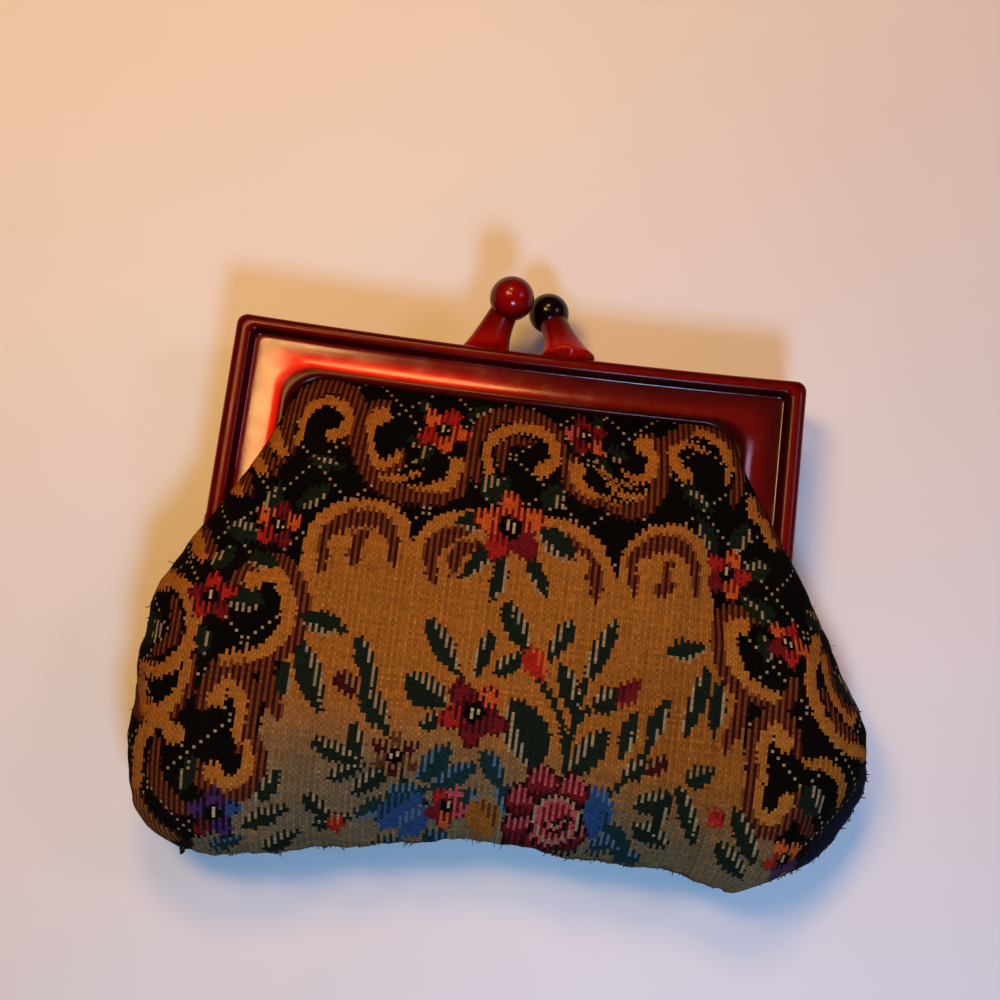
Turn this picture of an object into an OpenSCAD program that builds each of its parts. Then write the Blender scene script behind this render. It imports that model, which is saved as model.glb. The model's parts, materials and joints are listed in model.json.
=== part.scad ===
// Coin purse: a woven tapestry bag on a two-part moulded kiss-lock frame.
// It lies on its back: X runs across the frame, Y from the bag's bottom up to
// the clasp, Z up through the front panel. The origin is the middle of the
// overall box, on the surface that the purse lies on.

/* [Frame] */
// Width of the frame over its two legs
frame_w = 102; // [90:1:110]
// Length of a leg, from the top of the bar down to the hinge axis
leg_len = 43; // [40:1:48]
// Face width of a leg
leg_face = 11.4; // [10:0.1:12]
// Face width of the top bar
bar_face = 9.5; // [8:0.1:10]
// Depth of one half, from the parting plane to the top of its bead
half_depth = 5; // [4.6:0.1:6]
// Thickness of the outer wall
wall_t = 2.6; // [2:0.1:3]
// Width of the raised bead along the outer edge
bead_w = 4.2; // [3.4:0.1:4.6]
// Radius of the outer corners
corner_r = 2.6; // [2:0.1:4]
// Radius of the opening's top corners
mouth_r = 7; // [5:0.5:9]

/* [Clasp] */
// Diameter of the ball on the back half, which closes over the front
back_ball_d = 8; // [7:0.1:8.2]
// Diameter of the ball on the front half, which closes behind
front_ball_d = 7.6; // [7:0.1:8.2]
// Height of both balls' centres above the bar
ball_rise = 9.2; // [8.5:0.1:11]
// Distance between the balls' centres, measured along the bar
ball_gap = 8; // [7.9:0.1:10]
// How far each ball leans across the parting plane
ball_cross = 3; // [2.5:0.1:4]
// Radius of a post where it grows out of the bar
post_foot_r = 3.9; // [3:0.1:4.2]
// Radius of a post under its ball
post_neck_r = 2.3; // [2:0.1:2.8]

/* [Hinges] */
// Radius of the ears
ear_r = 4.5; // [4:0.1:4.8]
// Thickness of one ear
ear_t = 2.4; // [2:0.1:2.6]
// Radius of the hinge pins
pin_r = 0.9; // [0.7:0.05:1.1]

/* [Bag] */
// Half of the bag's width at its widest
bag_half_w = 64; // [60:1:68]
// Distance from the top of the bar down to the bottom seam
bag_drop = 89; // [84:1:94]
// Height of the front belly above the parting plane
belly_h = 12.5; // [10:0.5:14]
// Thickness of the tapestry
tapestry_t = 0.9; // [0.7:0.1:1]
// Thickness of the lining
lining_t = 0.45; // [0.3:0.05:0.5]

/* [Hidden] */
$fn = 48;

parting_gap = 0.1;      // each half stays this far from the parting plane
side_gap = 0.2;         // sideways gap between the two ears of a hinge
pin_gap = 0.05;         // radial running clearance of a pin
ear_clear = 0.3;        // room cut round the other half's ear
fabric_gap = 0.3;       // gap between soft solids that meet
skin_gap = 0.25;        // gap between the tapestry and its lining
face_z = 3.9;           // front of the recessed face
face_t = 1.6;           // thickness of the recessed face
lip_w = 1;              // width of the step that rounds the face's inner edge
lip_drop = 0.7;         // and its depth
bead_round = 0.7;       // step that rounds the bead
slot_end = 5.8;         // distance from the outer edge to the glued fabric's edge
cord_r = 0.7;           // radius of the cord that wedges the fabric in its slot
cord_in = 3.5;          // distance from the outer edge to that cord's centre
cord_z = 1.2;
cord_bend = 3;          // radius of the cord's two bends
cord_stop = 7;          // the cord ends this far above the hinge axis
tapestry_z = 2.1;       // outer face of the glued tapestry
lift_start = 0.5;       // the fabric starts to rise this far inside the opening
lift_run = 18;          // and is at its full height this far from the edge
lift_corner_r = 14;     // radius of the opening's corners as the fabric follows them
yoke_h = 12.2;          // full height of the fabric in the opening
rest_z = 12;            // parting plane above the surface the purse lies on
back_belly_h = 13.4;    // height that the back belly would have off the surface
fold_low = 14;          // the folding band reaches this far below the hinge axis
shoulder_low = 5.3;     // the bag widens this far below the hinge axis
pin_head_r = 1.6;
pin_head_t = 0.5;

frame_half_w = frame_w / 2;
ear_out = frame_half_w - ear_t;
ear_in = ear_out - side_gap - ear_t;
flange_half_w = frame_half_w - slot_end;
mouth_half_w = frame_half_w - leg_face;
hinge_y = -leg_len;
bottom_y = -bag_drop;
hem_y = bottom_y + 0.6;
bag_top = -(hem_y + ball_rise + back_ball_d / 2) / 2;
band_y = hinge_y - fold_low;
shoulder_y = hinge_y - shoulder_low;

// Columns across the bag, as shares of its half width. They crowd where the
// fabric turns round the edge and where it comes out from under the frame.
half_columns = [1, 0.99, 0.96, 0.92, 0.877, 0.85, 0.79, 0.68, 0.55, 0.4, 0.2];
columns = concat([for (u = half_columns) -u], [0],
    [for (i = [len(half_columns) - 1:-1:0]) half_columns[i]]);

// Rows, as heights from the top of the bar.
yoke_rows = [-slot_end + 1, -bar_face - 0.2, -bar_face - 0.7, -13, -17, -22, -28,
    -35, hinge_y];
fold_rows = [hinge_y - fabric_gap, shoulder_y + 0.2, shoulder_y - 0.2, -52,
    band_y + fabric_gap];
belly_rows = [band_y, -60, -65, -70, -74, -78, -81.5, -84, -86, -87.4, hem_y];
lining_rows = [for (y = belly_rows) if (y > bottom_y + 2.9) y];

// ---- Shape of the bag ----

// Half width of the bag at height y: narrow in the frame, then a full belly
// with rounded lower corners.
function side_swell(y) = sin(90 * min(1, (shoulder_y - y) / 22));
function corner_cut(y) = let (d = min(1, (y - bottom_y) / 14)) sqrt(1 - pow(1 - d, 2));
function bag_w(y) = y > shoulder_y ? flange_half_w
    : (bag_half_w - 8 + 8 * side_swell(y)) * (0.84 + 0.16 * corner_cut(y));

// Height of the belly over the seam along its middle.
function belly_rise(y, h) = h * pow(sin(90 * min(1, (y - bottom_y) / 30)), 0.6);

// One point of the belly. inset moves it inwards from the outer face.
function belly_point(u, y, h, inset, floor_z) =
    let (full = belly_rise(y, h) - inset,
        z = parting_gap + full * pow(1 - pow(abs(u), 2.6), 0.55))
    [u * (bag_w(y) - inset), y, min(z, floor_z - inset)];

// Distance from the edge of the frame's opening in to the point x, y.
function edge_distance(x, y) =
    let (corner = [abs(x) - mouth_half_w + lift_corner_r,
            y + bar_face + lift_corner_r])
    corner[0] > 0 && corner[1] > 0 ? lift_corner_r - norm(corner)
    : min(mouth_half_w - abs(x), -bar_face - y);

// One point of the yoke, which is glued behind the face and rises in the opening.
function yoke_point(u, y, inset, floor_z) =
    let (x = u * flange_half_w,
        t = max(0, min(1, (edge_distance(x, y) - lift_start) / lift_run)),
        z = tapestry_z + (yoke_h - tapestry_z) * (1 - pow(1 - t, 2.2)) - inset)
    [x, y, min(z, floor_z - inset)];

function yoke_grid(inset, floor_z) =
    [for (y = yoke_rows) [for (u = columns) yoke_point(u, y, inset, floor_z)]];
function belly_grid(rows, h, inset, floor_z) =
    [for (y = rows) [for (u = columns) belly_point(u, y, h, inset, floor_z)]];

// Closed solid between an outer and an inner grid of points.
module skin(outer, inner) {
    rows = len(outer);
    cols = len(outer[0]);
    count = rows * cols;
    points = concat([for (r = outer) for (p = r) p], [for (r = inner) for (p = r) p]);
    rim = concat([for (j = [0:cols - 1]) j],
        [for (i = [1:rows - 1]) i * cols + cols - 1],
        [for (j = [cols - 2:-1:0]) (rows - 1) * cols + j],
        [for (i = [rows - 2:-1:1]) i * cols]);
    steps = len(rim);
    faces = concat(
        [for (i = [0:rows - 2]) for (j = [0:cols - 2]) let (a = i * cols + j)
            each [[a, a + 1, a + cols + 1], [a, a + cols + 1, a + cols]]],
        [for (i = [0:rows - 2]) for (j = [0:cols - 2]) let (a = count + i * cols + j)
            each [[a, a + cols + 1, a + 1], [a, a + cols, a + cols + 1]]],
        [for (k = [0:steps - 1]) let (a = rim[k], b = rim[(k + 1) % steps])
            each [[a, count + a, count + b], [a, count + b, b]]]);
    polyhedron(points, faces);
}

// Moves a half's own coordinates, with the bar's top at y = 0 and the parting
// plane at z = 0, into the purse's frame.
module at_front() {
    translate([0, bag_top, rest_z])
        children();
}

module at_back() {
    translate([0, bag_top, rest_z])
        mirror([0, 0, 1])
            children();
}

// ---- Frame ----

// Flat arch with two round top corners, its top edge at top_y.
module arch_2d(half_w, top_y, r) {
    low_y = hinge_y;
    translate([-half_w, low_y])
        square([2 * half_w, top_y - r - low_y]);
    translate([-half_w + r, low_y])
        square([2 * (half_w - r), top_y - low_y]);
    for (side = [-1, 1])
        translate([side * (half_w - r), top_y - r])
            circle(r);
}

// Arched rim from one distance to another inside the outer edge. The widths
// on the legs and on the bar may differ.
module rim_2d(from_edge, leg_w, bar_w, inner_r) {
    difference() {
        arch_2d(frame_half_w - from_edge, -from_edge, corner_r - from_edge);
        translate([0, -0.001])
            intersection() {
                arch_2d(frame_half_w - leg_w, -bar_w, inner_r);
                translate([-frame_half_w, hinge_y - 1])
                    square([frame_w, leg_len + 1]);
            }
        translate([-frame_half_w + leg_w, hinge_y - 1])
            square([frame_w - 2 * leg_w, 3]);
    }
}

module layer(low, high) {
    translate([0, 0, low])
        linear_extrude(high - low)
            children();
}

module across(x0, x1, r) {
    translate([x0, hinge_y, 0])
        rotate([0, 90, 0])
            cylinder(r = r, h = x1 - x0);
}

// An ear, from its inner face at x0, on the side of the given sign.
module ear(side, x0, r, grow = 0) {
    if (side > 0)
        across(x0 - grow, x0 + ear_t + grow, r);
    else
        across(-x0 - ear_t - grow, -x0 + grow, r);
}

// Post from the bar to its ball. lean is the side it stands on.
module post(lean) {
    foot = [lean * 7.2, -1.6, half_depth / 2];
    ball = [lean * ball_gap / 2, ball_rise, -ball_cross];
    run = ball - foot;
    span = norm(run);
    tilt = acos(run[2] / span);
    turn = atan2(run[1], run[0]);
    difference() {
        translate(foot)
            rotate([0, tilt, turn])
                cylinder(r1 = post_foot_r, r2 = post_neck_r, h = span);
        translate([-frame_half_w, -bar_face - 4, parting_gap - 20])
            cube([frame_w, bar_face + 4.2, 20]);
        translate([-frame_half_w, -bar_face - 4, face_z - face_t - 10])
            cube([frame_w, bar_face + 4 - wall_t, 10]);
    }
}

// One moulded half, in its own coordinates. own_ear and other_ear are the
// inner faces of this half's ears and of the other half's.
module frame_half(own_ear, other_ear, lean, ball_d) {
    difference() {
        union() {
            layer(parting_gap, face_z - face_t + 0.2)
                rim_2d(0, wall_t, wall_t, 0.5);
            layer(face_z - face_t, face_z - lip_drop)
                rim_2d(0, leg_face, bar_face, mouth_r);
            layer(face_z - lip_drop - 0.2, face_z)
                rim_2d(0, leg_face - lip_w, bar_face - lip_w, mouth_r + lip_w);
            layer(face_z - 0.2, half_depth - bead_round)
                rim_2d(0, bead_w, bead_w, 1.6);
            layer(half_depth - bead_round - 0.2, half_depth)
                rim_2d(bead_round, bead_w - bead_round, bead_w - bead_round, 2.2);
            for (side = [-1, 1])
                ear(side, own_ear, ear_r);
            post(lean);
        }
        for (side = [-1, 1]) {
            ear(side, other_ear, ear_r + ear_clear, side_gap);
            ear(side, own_ear, pin_r + pin_gap, 6);
        }
        translate([lean * ball_gap / 2, ball_rise, -ball_cross])
            sphere(d = ball_d);
    }
}

module front_frame() {
    color([0.5, 0.05, 0.03])
        at_front()
            frame_half(ear_out, ear_in, 1, front_ball_d);
}

module back_frame() {
    color([0.5, 0.05, 0.03])
        at_back()
            frame_half(ear_in, ear_out, -1, back_ball_d);
}

// ---- Clasp balls ----

module clasp_ball(lean, d) {
    translate([lean * ball_gap / 2, ball_rise, -ball_cross])
        sphere(d = d);
}

module front_clasp_ball() {
    color([0.25, 0.01, 0.01])
        at_front()
            clasp_ball(1, front_ball_d);
}

module back_clasp_ball() {
    color([0.6, 0.03, 0.02])
        at_back()
            clasp_ball(-1, back_ball_d);
}

// ---- Hinge pins ----

// Pin with an outer head and a spread inner end, built on the right side.
module hinge_pin() {
    color([0.7, 0.6, 0.35]) {
        across(ear_in - pin_head_t, frame_half_w + pin_head_t, pin_r);
        across(frame_half_w + 0.05, frame_half_w + pin_head_t, pin_head_r);
        across(ear_in - pin_head_t, ear_in - 0.05, pin_head_r - 0.3);
    }
}

module left_hinge_pin() {
    at_front()
        mirror([1, 0, 0])
            hinge_pin();
}

module right_hinge_pin() {
    at_front()
        hinge_pin();
}

// ---- Cords that wedge the fabric into the frame's slot ----

module channel_cord() {
    side_x = frame_half_w - cord_in;
    low_y = hinge_y + cord_stop;
    color([0.75, 0.7, 0.6]) {
        for (side = [-1, 1]) {
            translate([side * side_x, low_y, cord_z])
                rotate([-90, 0, 0])
                    cylinder(r = cord_r, h = -cord_in - cord_bend - low_y);
            translate([side * (side_x - cord_bend), -cord_in - cord_bend, cord_z])
                mirror([side < 0 ? 1 : 0, 0, 0])
                    rotate_extrude(angle = 90)
                        translate([cord_bend, 0])
                            circle(cord_r);
        }
        translate([-side_x + cord_bend, -cord_in, cord_z])
            rotate([0, 90, 0])
                cylinder(r = cord_r, h = 2 * (side_x - cord_bend));
    }
}

module front_channel_cord() {
    at_front()
        channel_cord();
}

module back_channel_cord() {
    at_back()
        channel_cord();
}

// ---- Tapestry ----

no_floor = 100;         // a front belly is free to rise

module tapestry() {
    color([0.45, 0.3, 0.12])
        children();
}

module lining() {
    color([0.05, 0.06, 0.12])
        children();
}

lining_in = tapestry_t + skin_gap;
lining_out = lining_in + lining_t;

module front_belly(rows, outer_in, inner_in) {
    skin(belly_grid(rows, belly_h, outer_in, no_floor),
        belly_grid(rows, belly_h, inner_in, no_floor));
}

module yoke(outer_in, inner_in) {
    skin(yoke_grid(outer_in, no_floor), yoke_grid(inner_in, no_floor));
}

module back_bag(end_rows, outer_in, inner_in) {
    rows = concat(fold_rows, end_rows);
    skin(concat(yoke_grid(outer_in, rest_z),
            belly_grid(rows, back_belly_h, outer_in, rest_z)),
        concat(yoke_grid(inner_in, rest_z),
            belly_grid(rows, back_belly_h, inner_in, rest_z)));
}

module front_panel() {
    tapestry() at_front()
        front_belly(belly_rows, 0, tapestry_t);
}

module front_panel_fold() {
    tapestry() at_front()
        front_belly(fold_rows, 0, tapestry_t);
}

module front_panel_yoke() {
    tapestry() at_front()
        yoke(0, tapestry_t);
}

module back_panel() {
    tapestry() at_back()
        back_bag(belly_rows, 0, tapestry_t);
}

// ---- Lining ----

module front_lining() {
    lining() at_front()
        front_belly(lining_rows, lining_in, lining_out);
}

module front_lining_fold() {
    lining() at_front()
        front_belly(fold_rows, lining_in, lining_out);
}

module front_lining_yoke() {
    lining() at_front()
        yoke(lining_in, lining_out);
}

module back_lining() {
    lining() at_back()
        back_bag(lining_rows, lining_in, lining_out);
}

front_frame();
back_frame();
front_clasp_ball();
back_clasp_ball();
left_hinge_pin();
right_hinge_pin();
front_channel_cord();
back_channel_cord();
front_panel();
front_panel_fold();
front_panel_yoke();
back_panel();
front_lining();
front_lining_fold();
front_lining_yoke();
back_lining();
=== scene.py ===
# %% [markdown]
# # A tapestry coin purse on a kiss-lock frame
# The purse lies on its back on a table. The frame's two halves, hinges and clasp already
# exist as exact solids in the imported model, which brings the sizes and the moving bodies.
# What is built here is what the eye sees: moulded red plastic, woven cloth, and its frayed
# seams. Everything is in metres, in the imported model's own frame.

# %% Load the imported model
import json
import bmesh
import bpy
import numpy as np
from mathutils import Matrix, Vector


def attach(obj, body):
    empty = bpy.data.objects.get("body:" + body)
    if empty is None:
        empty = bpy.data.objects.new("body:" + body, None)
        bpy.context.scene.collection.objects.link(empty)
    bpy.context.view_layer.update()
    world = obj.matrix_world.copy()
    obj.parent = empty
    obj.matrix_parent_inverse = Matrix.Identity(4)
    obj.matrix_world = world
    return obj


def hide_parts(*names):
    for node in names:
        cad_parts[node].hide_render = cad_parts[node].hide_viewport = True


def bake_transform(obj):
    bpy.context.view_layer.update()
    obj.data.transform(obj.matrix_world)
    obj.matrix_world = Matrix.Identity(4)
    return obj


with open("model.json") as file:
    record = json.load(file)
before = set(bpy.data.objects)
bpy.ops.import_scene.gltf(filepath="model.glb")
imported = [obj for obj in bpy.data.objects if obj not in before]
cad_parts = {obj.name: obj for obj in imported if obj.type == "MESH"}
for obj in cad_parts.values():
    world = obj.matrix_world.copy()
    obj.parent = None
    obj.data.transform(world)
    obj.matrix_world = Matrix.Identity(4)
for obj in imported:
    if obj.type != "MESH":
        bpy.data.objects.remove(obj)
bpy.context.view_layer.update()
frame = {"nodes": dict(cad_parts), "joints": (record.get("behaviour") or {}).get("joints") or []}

# %% [markdown]
# A purse maker measures from the frame: down from the top edge of its bar, and out from
# the plane where the two halves part. So the shapes below are worked out in millimetres in
# those terms, and one function carries them into the model's own frame. The hinge axis
# gives the place of both.

# %% The maker's own coordinates
MM = 0.001
LEG_LENGTH = 43.0
hinge = np.array(frame["joints"][0]["pos_m"]) / MM
bar_top = hinge[1] + LEG_LENGTH
parting = hinge[2]


def place(points):
    """Millimetres from the bar's top edge and the parting plane, to metres in the model."""
    return (np.asarray(points, float) + [0.0, bar_top, parting]) * MM


def smooth(t):
    """Rises from 0 to 1 as t does, level at both ends: three t squared less two t cubed."""
    t = np.clip(t, 0.0, 1.0)
    return t * t * (3.0 - 2.0 * t)


print("bar top", bar_top, "parting plane", parting)

# %% [markdown]
# Every surface is a grid or a list of points in numpy. One helper puts the arrays into a
# mesh, and three more carry a colour for each face, a value for each point and a flat map of
# the cloth. A stack of rings is closed by caps, and normals are summed from the faces.

# %% Arrays into meshes
def make_piece(name, points, faces):
    """One smooth-shaded object from an (n, 3) array and an (m, k) array of face corners."""
    points = np.ascontiguousarray(points, np.float32)
    faces = np.ascontiguousarray(faces, np.int32)
    mesh = bpy.data.meshes.new(name)
    mesh.vertices.add(len(points))
    mesh.vertices.foreach_set("co", points.ravel())
    mesh.loops.add(faces.size)
    mesh.loops.foreach_set("vertex_index", faces.ravel())
    mesh.polygons.add(len(faces))
    mesh.polygons.foreach_set("loop_start", np.arange(0, faces.size, faces.shape[1], dtype=np.int32))
    mesh.polygons.foreach_set("use_smooth", np.ones(len(faces), bool))
    mesh.update(calc_edges=True)
    obj = bpy.data.objects.new(name, mesh)
    bpy.context.scene.collection.objects.link(obj)
    return obj


def grid_faces(rows, cols, wrap=False):
    """Corners of the quads of a rows by cols grid; wrap joins the last column to the first."""
    i, j = np.meshgrid(np.arange(rows - 1), np.arange(cols if wrap else cols - 1), indexing="ij")
    k = (j + 1) % cols
    return np.stack([i * cols + j, i * cols + k, (i + 1) * cols + k, (i + 1) * cols + j],
                    -1).reshape(-1, 4)


def end_caps(rings, count):
    """Triangles that close both ends of a stack of rings, round a middle point for each end.
    The two middle points come after the rings' own."""
    k = np.arange(count)
    n = (k + 1) % count
    top = (rings - 1) * count
    return np.r_[np.c_[np.full(count, rings * count), n, k],
                 np.c_[np.full(count, rings * count + 1), top + k, top + n]]


def surface_normals(points, faces):
    """Each point's normal: the sum of the cross products of its faces' diagonals."""
    corner = points[faces]
    face_normal = np.cross(corner[:, 2] - corner[:, 0], corner[:, 3] - corner[:, 1])
    normal = np.stack([np.bincount(faces.ravel(), np.repeat(face_normal[:, k], 4),
                                   minlength=len(points)) for k in range(3)], 1)
    return normal / np.maximum(np.linalg.norm(normal, axis=1, keepdims=True), 1e-9)


def add_colours(obj, name, colours):
    """A colour for each face, from an (m, 3) array."""
    per_corner = np.repeat(np.c_[colours, np.ones(len(colours))], 4, axis=0)
    layer = obj.data.color_attributes.new(name, "FLOAT_COLOR", "CORNER")
    layer.data.foreach_set("color", per_corner.astype(np.float32).ravel())


def add_values(obj, name, values):
    """One number for each point."""
    layer = obj.data.attributes.new(name, "FLOAT", "POINT")
    layer.data.foreach_set("value", np.asarray(values, np.float32))


def add_map(obj, name, uv):
    """A flat map from one (u, v) for each point."""
    corners = np.empty(len(obj.data.loops), np.int32)
    obj.data.loops.foreach_get("vertex_index", corners)
    layer = obj.data.uv_layers.new(name=name)
    layer.data.foreach_set("uv", np.asarray(uv, np.float32)[corners].ravel())


# %% [markdown]
# The camera comes first, so that every later step can be judged in the same view: almost
# straight down on the purse, turned a little, from close by.

# %% Camera
def aim_camera(azimuth, elevation, roll, distance, target, lens):
    """The camera's back axis points at azimuth and elevation from the target, and the
    picture is turned by roll about it."""
    a, e, r = np.radians([azimuth, elevation, roll])
    back = np.array([np.sin(a) * np.cos(e), -np.cos(a) * np.cos(e), np.sin(e)])
    right = np.cross(-back, [0.0, 0.0, 1.0])
    right /= np.linalg.norm(right)
    up = np.cross(right, -back)
    turned_right = np.cos(r) * right + np.sin(r) * up
    turned_up = -np.sin(r) * right + np.cos(r) * up
    data = bpy.data.cameras.new("camera")
    data.lens, data.sensor_width = lens, 36.0
    data.clip_start, data.clip_end = 0.01, 20.0
    camera = bpy.data.objects.new("camera", data)
    bpy.context.scene.collection.objects.link(camera)
    turn = Matrix(np.stack([turned_right, turned_up, back], 1).tolist()).to_4x4()
    camera.matrix_world = Matrix.Translation(place(np.array(target) + back * distance)) @ turn
    bpy.context.scene.camera = camera


aim_camera(1.1, 80.6, 5.95, 216.5, (-0.70, -27.2, 0.0), 43.96)

# %% [markdown]
# Shader graphs are wired by a few helpers, so that each finish reads as a recipe. A node
# is named by its type, its settings by keyword, and its inputs by what feeds them.

# %% Shader helpers
def new_finish(name, slot_colour=(0.5, 0.5, 0.5)):
    """A material with an empty Principled BSDF; returns it, its nodes and the shader."""
    material = bpy.data.materials.new(name)
    material.use_nodes = True
    material.diffuse_color = (*slot_colour, 1.0)
    shader = material.node_tree.nodes["Principled BSDF"]
    return material, material.node_tree, shader


def node(tree, kind, inputs=None, **settings):
    """Adds a node, sets its settings, and feeds its inputs: a socket is linked, a value is set."""
    made = tree.nodes.new(kind)
    for key, value in settings.items():
        setattr(made, key, value)
    for key, value in (inputs or {}).items():
        if isinstance(value, bpy.types.NodeSocket):
            tree.links.new(value, made.inputs[key])
        else:
            made.inputs[key].default_value = value
    return made


def feed(tree, shader, **inputs):
    """Feeds a shader's inputs by name, with _ for a space: a socket is linked, a value is set."""
    for key, value in inputs.items():
        socket = shader.inputs[key.replace("_", " ")]
        if isinstance(value, bpy.types.NodeSocket):
            tree.links.new(value, socket)
        else:
            socket.default_value = value


def ramp(tree, factor, stops):
    """A colour ramp from (position, colour) stops."""
    made = node(tree, "ShaderNodeValToRGB", {"Fac": factor})
    elements = made.color_ramp.elements
    while len(elements) < len(stops):
        elements.new(0.5)
    for element, (position, colour) in zip(elements, stops):
        element.position, element.color = position, (*colour, 1.0)
    return made.outputs["Color"]


def maths(tree, operation, a, b=0.0, c=0.0):
    """One Math node's result."""
    return node(tree, "ShaderNodeMath", {0: a, 1: b, 2: c}, operation=operation).outputs[0]


def mix_colour(tree, factor, a, b, blend="MIX"):
    """One colour Mix node's result."""
    made = node(tree, "ShaderNodeMix", {0: factor, 6: a, 7: b}, data_type="RGBA", blend_type=blend)
    return made.outputs[2]


def own_place(tree):
    """The object's own coordinates, in metres."""
    return node(tree, "ShaderNodeTexCoord").outputs["Object"]


def noise(tree, scale, detail=3.0, roughness=0.5):
    """Noise over the object's own coordinates. scale is in waves per metre."""
    return node(tree, "ShaderNodeTexNoise", {"Vector": own_place(tree), "Scale": scale,
                                             "Detail": detail, "Roughness": roughness}).outputs["Fac"]


def bump(tree, height, strength, distance):
    """A normal tilted by the slope of height; distance is the full relief in metres."""
    return node(tree, "ShaderNodeBump", {"Height": height, "Strength": strength,
                                         "Distance": distance}).outputs["Normal"]


def new_group(name, inputs, outputs):
    """An empty node group, with its sockets given as name and type, and its two ends."""
    group = bpy.data.node_groups.new(name, "ShaderNodeTree")
    for way, sockets in (("INPUT", inputs), ("OUTPUT", outputs)):
        for label, kind in sockets.items():
            group.interface.new_socket(label, in_out=way, socket_type="NodeSocket" + kind)
    return group, group.nodes.new("NodeGroupInput"), group.nodes.new("NodeGroupOutput")


# %% [markdown]
# ## The moulded frame
# Each half is one injection moulding: a U whose outer edge stands up as a rounded bead, with
# a recessed face inside it that ends in a rolled lip. Behind the face is the slot that holds
# the cloth. A moulding like this is one profile carried round a path, so the profile is a
# closed loop of points, and each place on the path has an outer and an inner edge. A point of
# the profile lies between them at its own share of the width, which lets the leg be wider
# than the bar and the inner corner rounder than the outer one.

# %% Profile and path of a frame half
FRAME_HALF_WIDTH, LEG_FACE, BAR_FACE = 51.0, 11.4, 9.5
OUTER_RADIUS, MOUTH_RADIUS, BAR_SAG = 1.9, 7.0, 0.9
# Share of the width in from the outer edge, height over the parting plane, and how much
# light the plastic lets through there, painted into the colour as glow (1 where the face curls
# up to the lip, 0 in the bead), with brighter painted lines along the bead.
PROFILE = np.array([
    (0.012, 0.25, 0.05), (0.000, 0.70, 0.06), (0.000, 1.80, 0.10), (0.000, 3.00, 0.16),
    (0.004, 3.80, 0.30), (0.018, 4.30, 0.34), (0.045, 4.68, 0.28), (0.085, 4.90, 0.16),
    (0.130, 5.00, 0.26), (0.175, 5.00, 0.46), (0.215, 4.92, 0.26), (0.250, 4.72, 0.08),
    (0.278, 4.40, 0.03), (0.296, 4.05, 0.03), (0.310, 3.72, 0.04), (0.326, 3.50, 0.10),
    (0.350, 3.38, 0.28), (0.400, 3.33, 0.36), (0.480, 3.31, 0.42), (0.580, 3.32, 0.66),
    (0.660, 3.35, 0.95), (0.720, 3.41, 1.00), (0.765, 3.49, 1.00), (0.805, 3.60, 0.90),
    (0.840, 3.72, 0.52), (0.880, 3.82, 0.18), (0.920, 3.85, 0.10), (0.955, 3.74, 0.10),
    (0.982, 3.48, 0.14), (0.998, 3.10, 0.10), (1.000, 2.75, 0.08), (0.992, 2.48, 0.06),
    (0.970, 2.31, 0.05), (0.940, 2.26, 0.05), (0.700, 2.25, 0.05), (0.400, 2.25, 0.05),
    (0.260, 2.25, 0.05), (0.232, 2.12, 0.05), (0.228, 1.90, 0.05), (0.228, 0.40, 0.05),
    (0.215, 0.20, 0.05), (0.190, 0.12, 0.05), (0.100, 0.10, 0.05), (0.035, 0.12, 0.05)])
FACE_START, FACE_RADIUS, BEAD_FROM = 0.345, 1.1, 3.95


def arch_path(half_width, top, radius, steps_leg, steps_corner, steps_bar, foot):
    """Up the left leg, round the corner, along the bar, round and down the right leg. The
    corners are quarter circles."""
    corner_x, corner_y = half_width - radius, top - radius
    rise = foot + (corner_y - foot) * np.linspace(0, 1, steps_leg, endpoint=False)
    turn = np.pi / 2 * np.linspace(0, 1, steps_corner, endpoint=False)
    left = np.r_[np.c_[np.full(steps_leg, -half_width), rise],
                 np.c_[-corner_x - radius * np.cos(turn), corner_y + radius * np.sin(turn)]]
    bar = np.c_[np.linspace(-corner_x, corner_x, steps_bar), np.full(steps_bar, top)]
    return np.r_[left, bar, (left * [-1, 1])[::-1]]


FOOT = -LEG_LENGTH + 5.0
PATH_STEPS = (20, 14, 40)
outer_edge = arch_path(FRAME_HALF_WIDTH, 0.0, OUTER_RADIUS, *PATH_STEPS, FOOT)
inner_edge = arch_path(FRAME_HALF_WIDTH - LEG_FACE, -BAR_FACE, MOUTH_RADIUS, *PATH_STEPS, FOOT)
face_edge = arch_path(FRAME_HALF_WIDTH - FACE_START * LEG_FACE, -FACE_START * BAR_FACE,
                      FACE_RADIUS, *PATH_STEPS, FOOT)
print("profile points", len(PROFILE), "path points", len(outer_edge))


# %% Sweep the profile
def swept_half():
    """Points, faces and the light share of one half, in front of the parting plane: each
    ring goes by the profile's share of the way, first to the edge of the recessed face,
    whose corners are sharp, and then on to the inner edge, whose corners are round."""
    share, height, light = PROFILE.T
    first = np.clip(share / FACE_START, 0, 1)[None, :, None]
    second = np.clip((share - FACE_START) / (1 - FACE_START), 0, 1)[None, :, None]
    outer, face, inner = outer_edge[:, None, :], face_edge[:, None, :], inner_edge[:, None, :]
    flat = outer + (face - outer) * first + (inner - face) * second
    flat[..., 1] -= BAR_SAG * (1.0 - (flat[..., 0] / FRAME_HALF_WIDTH) ** 2)
    heights = np.broadcast_to(height[None, :, None], flat.shape[:2] + (1,))
    points = np.concatenate([flat, heights], 2)
    rings, count = points.shape[:2]
    # Painted glow: the resin is brighter towards the left shoulder, on the side the warm light comes
    # from.
    bead = points[..., 2] > BEAD_FROM
    lit_from_left = np.where(bead, 0.75, 0.28 + 0.72 * smooth((16.0 - points[..., 0]) / 44.0))
    lights = np.r_[(light * lit_from_left).ravel(), 0.05, 0.05]
    return (np.r_[points.reshape(-1, 3), points[[0, -1]].mean(1)],
            grid_faces(rings, count, wrap=True), end_caps(rings, count), lights)


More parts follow.
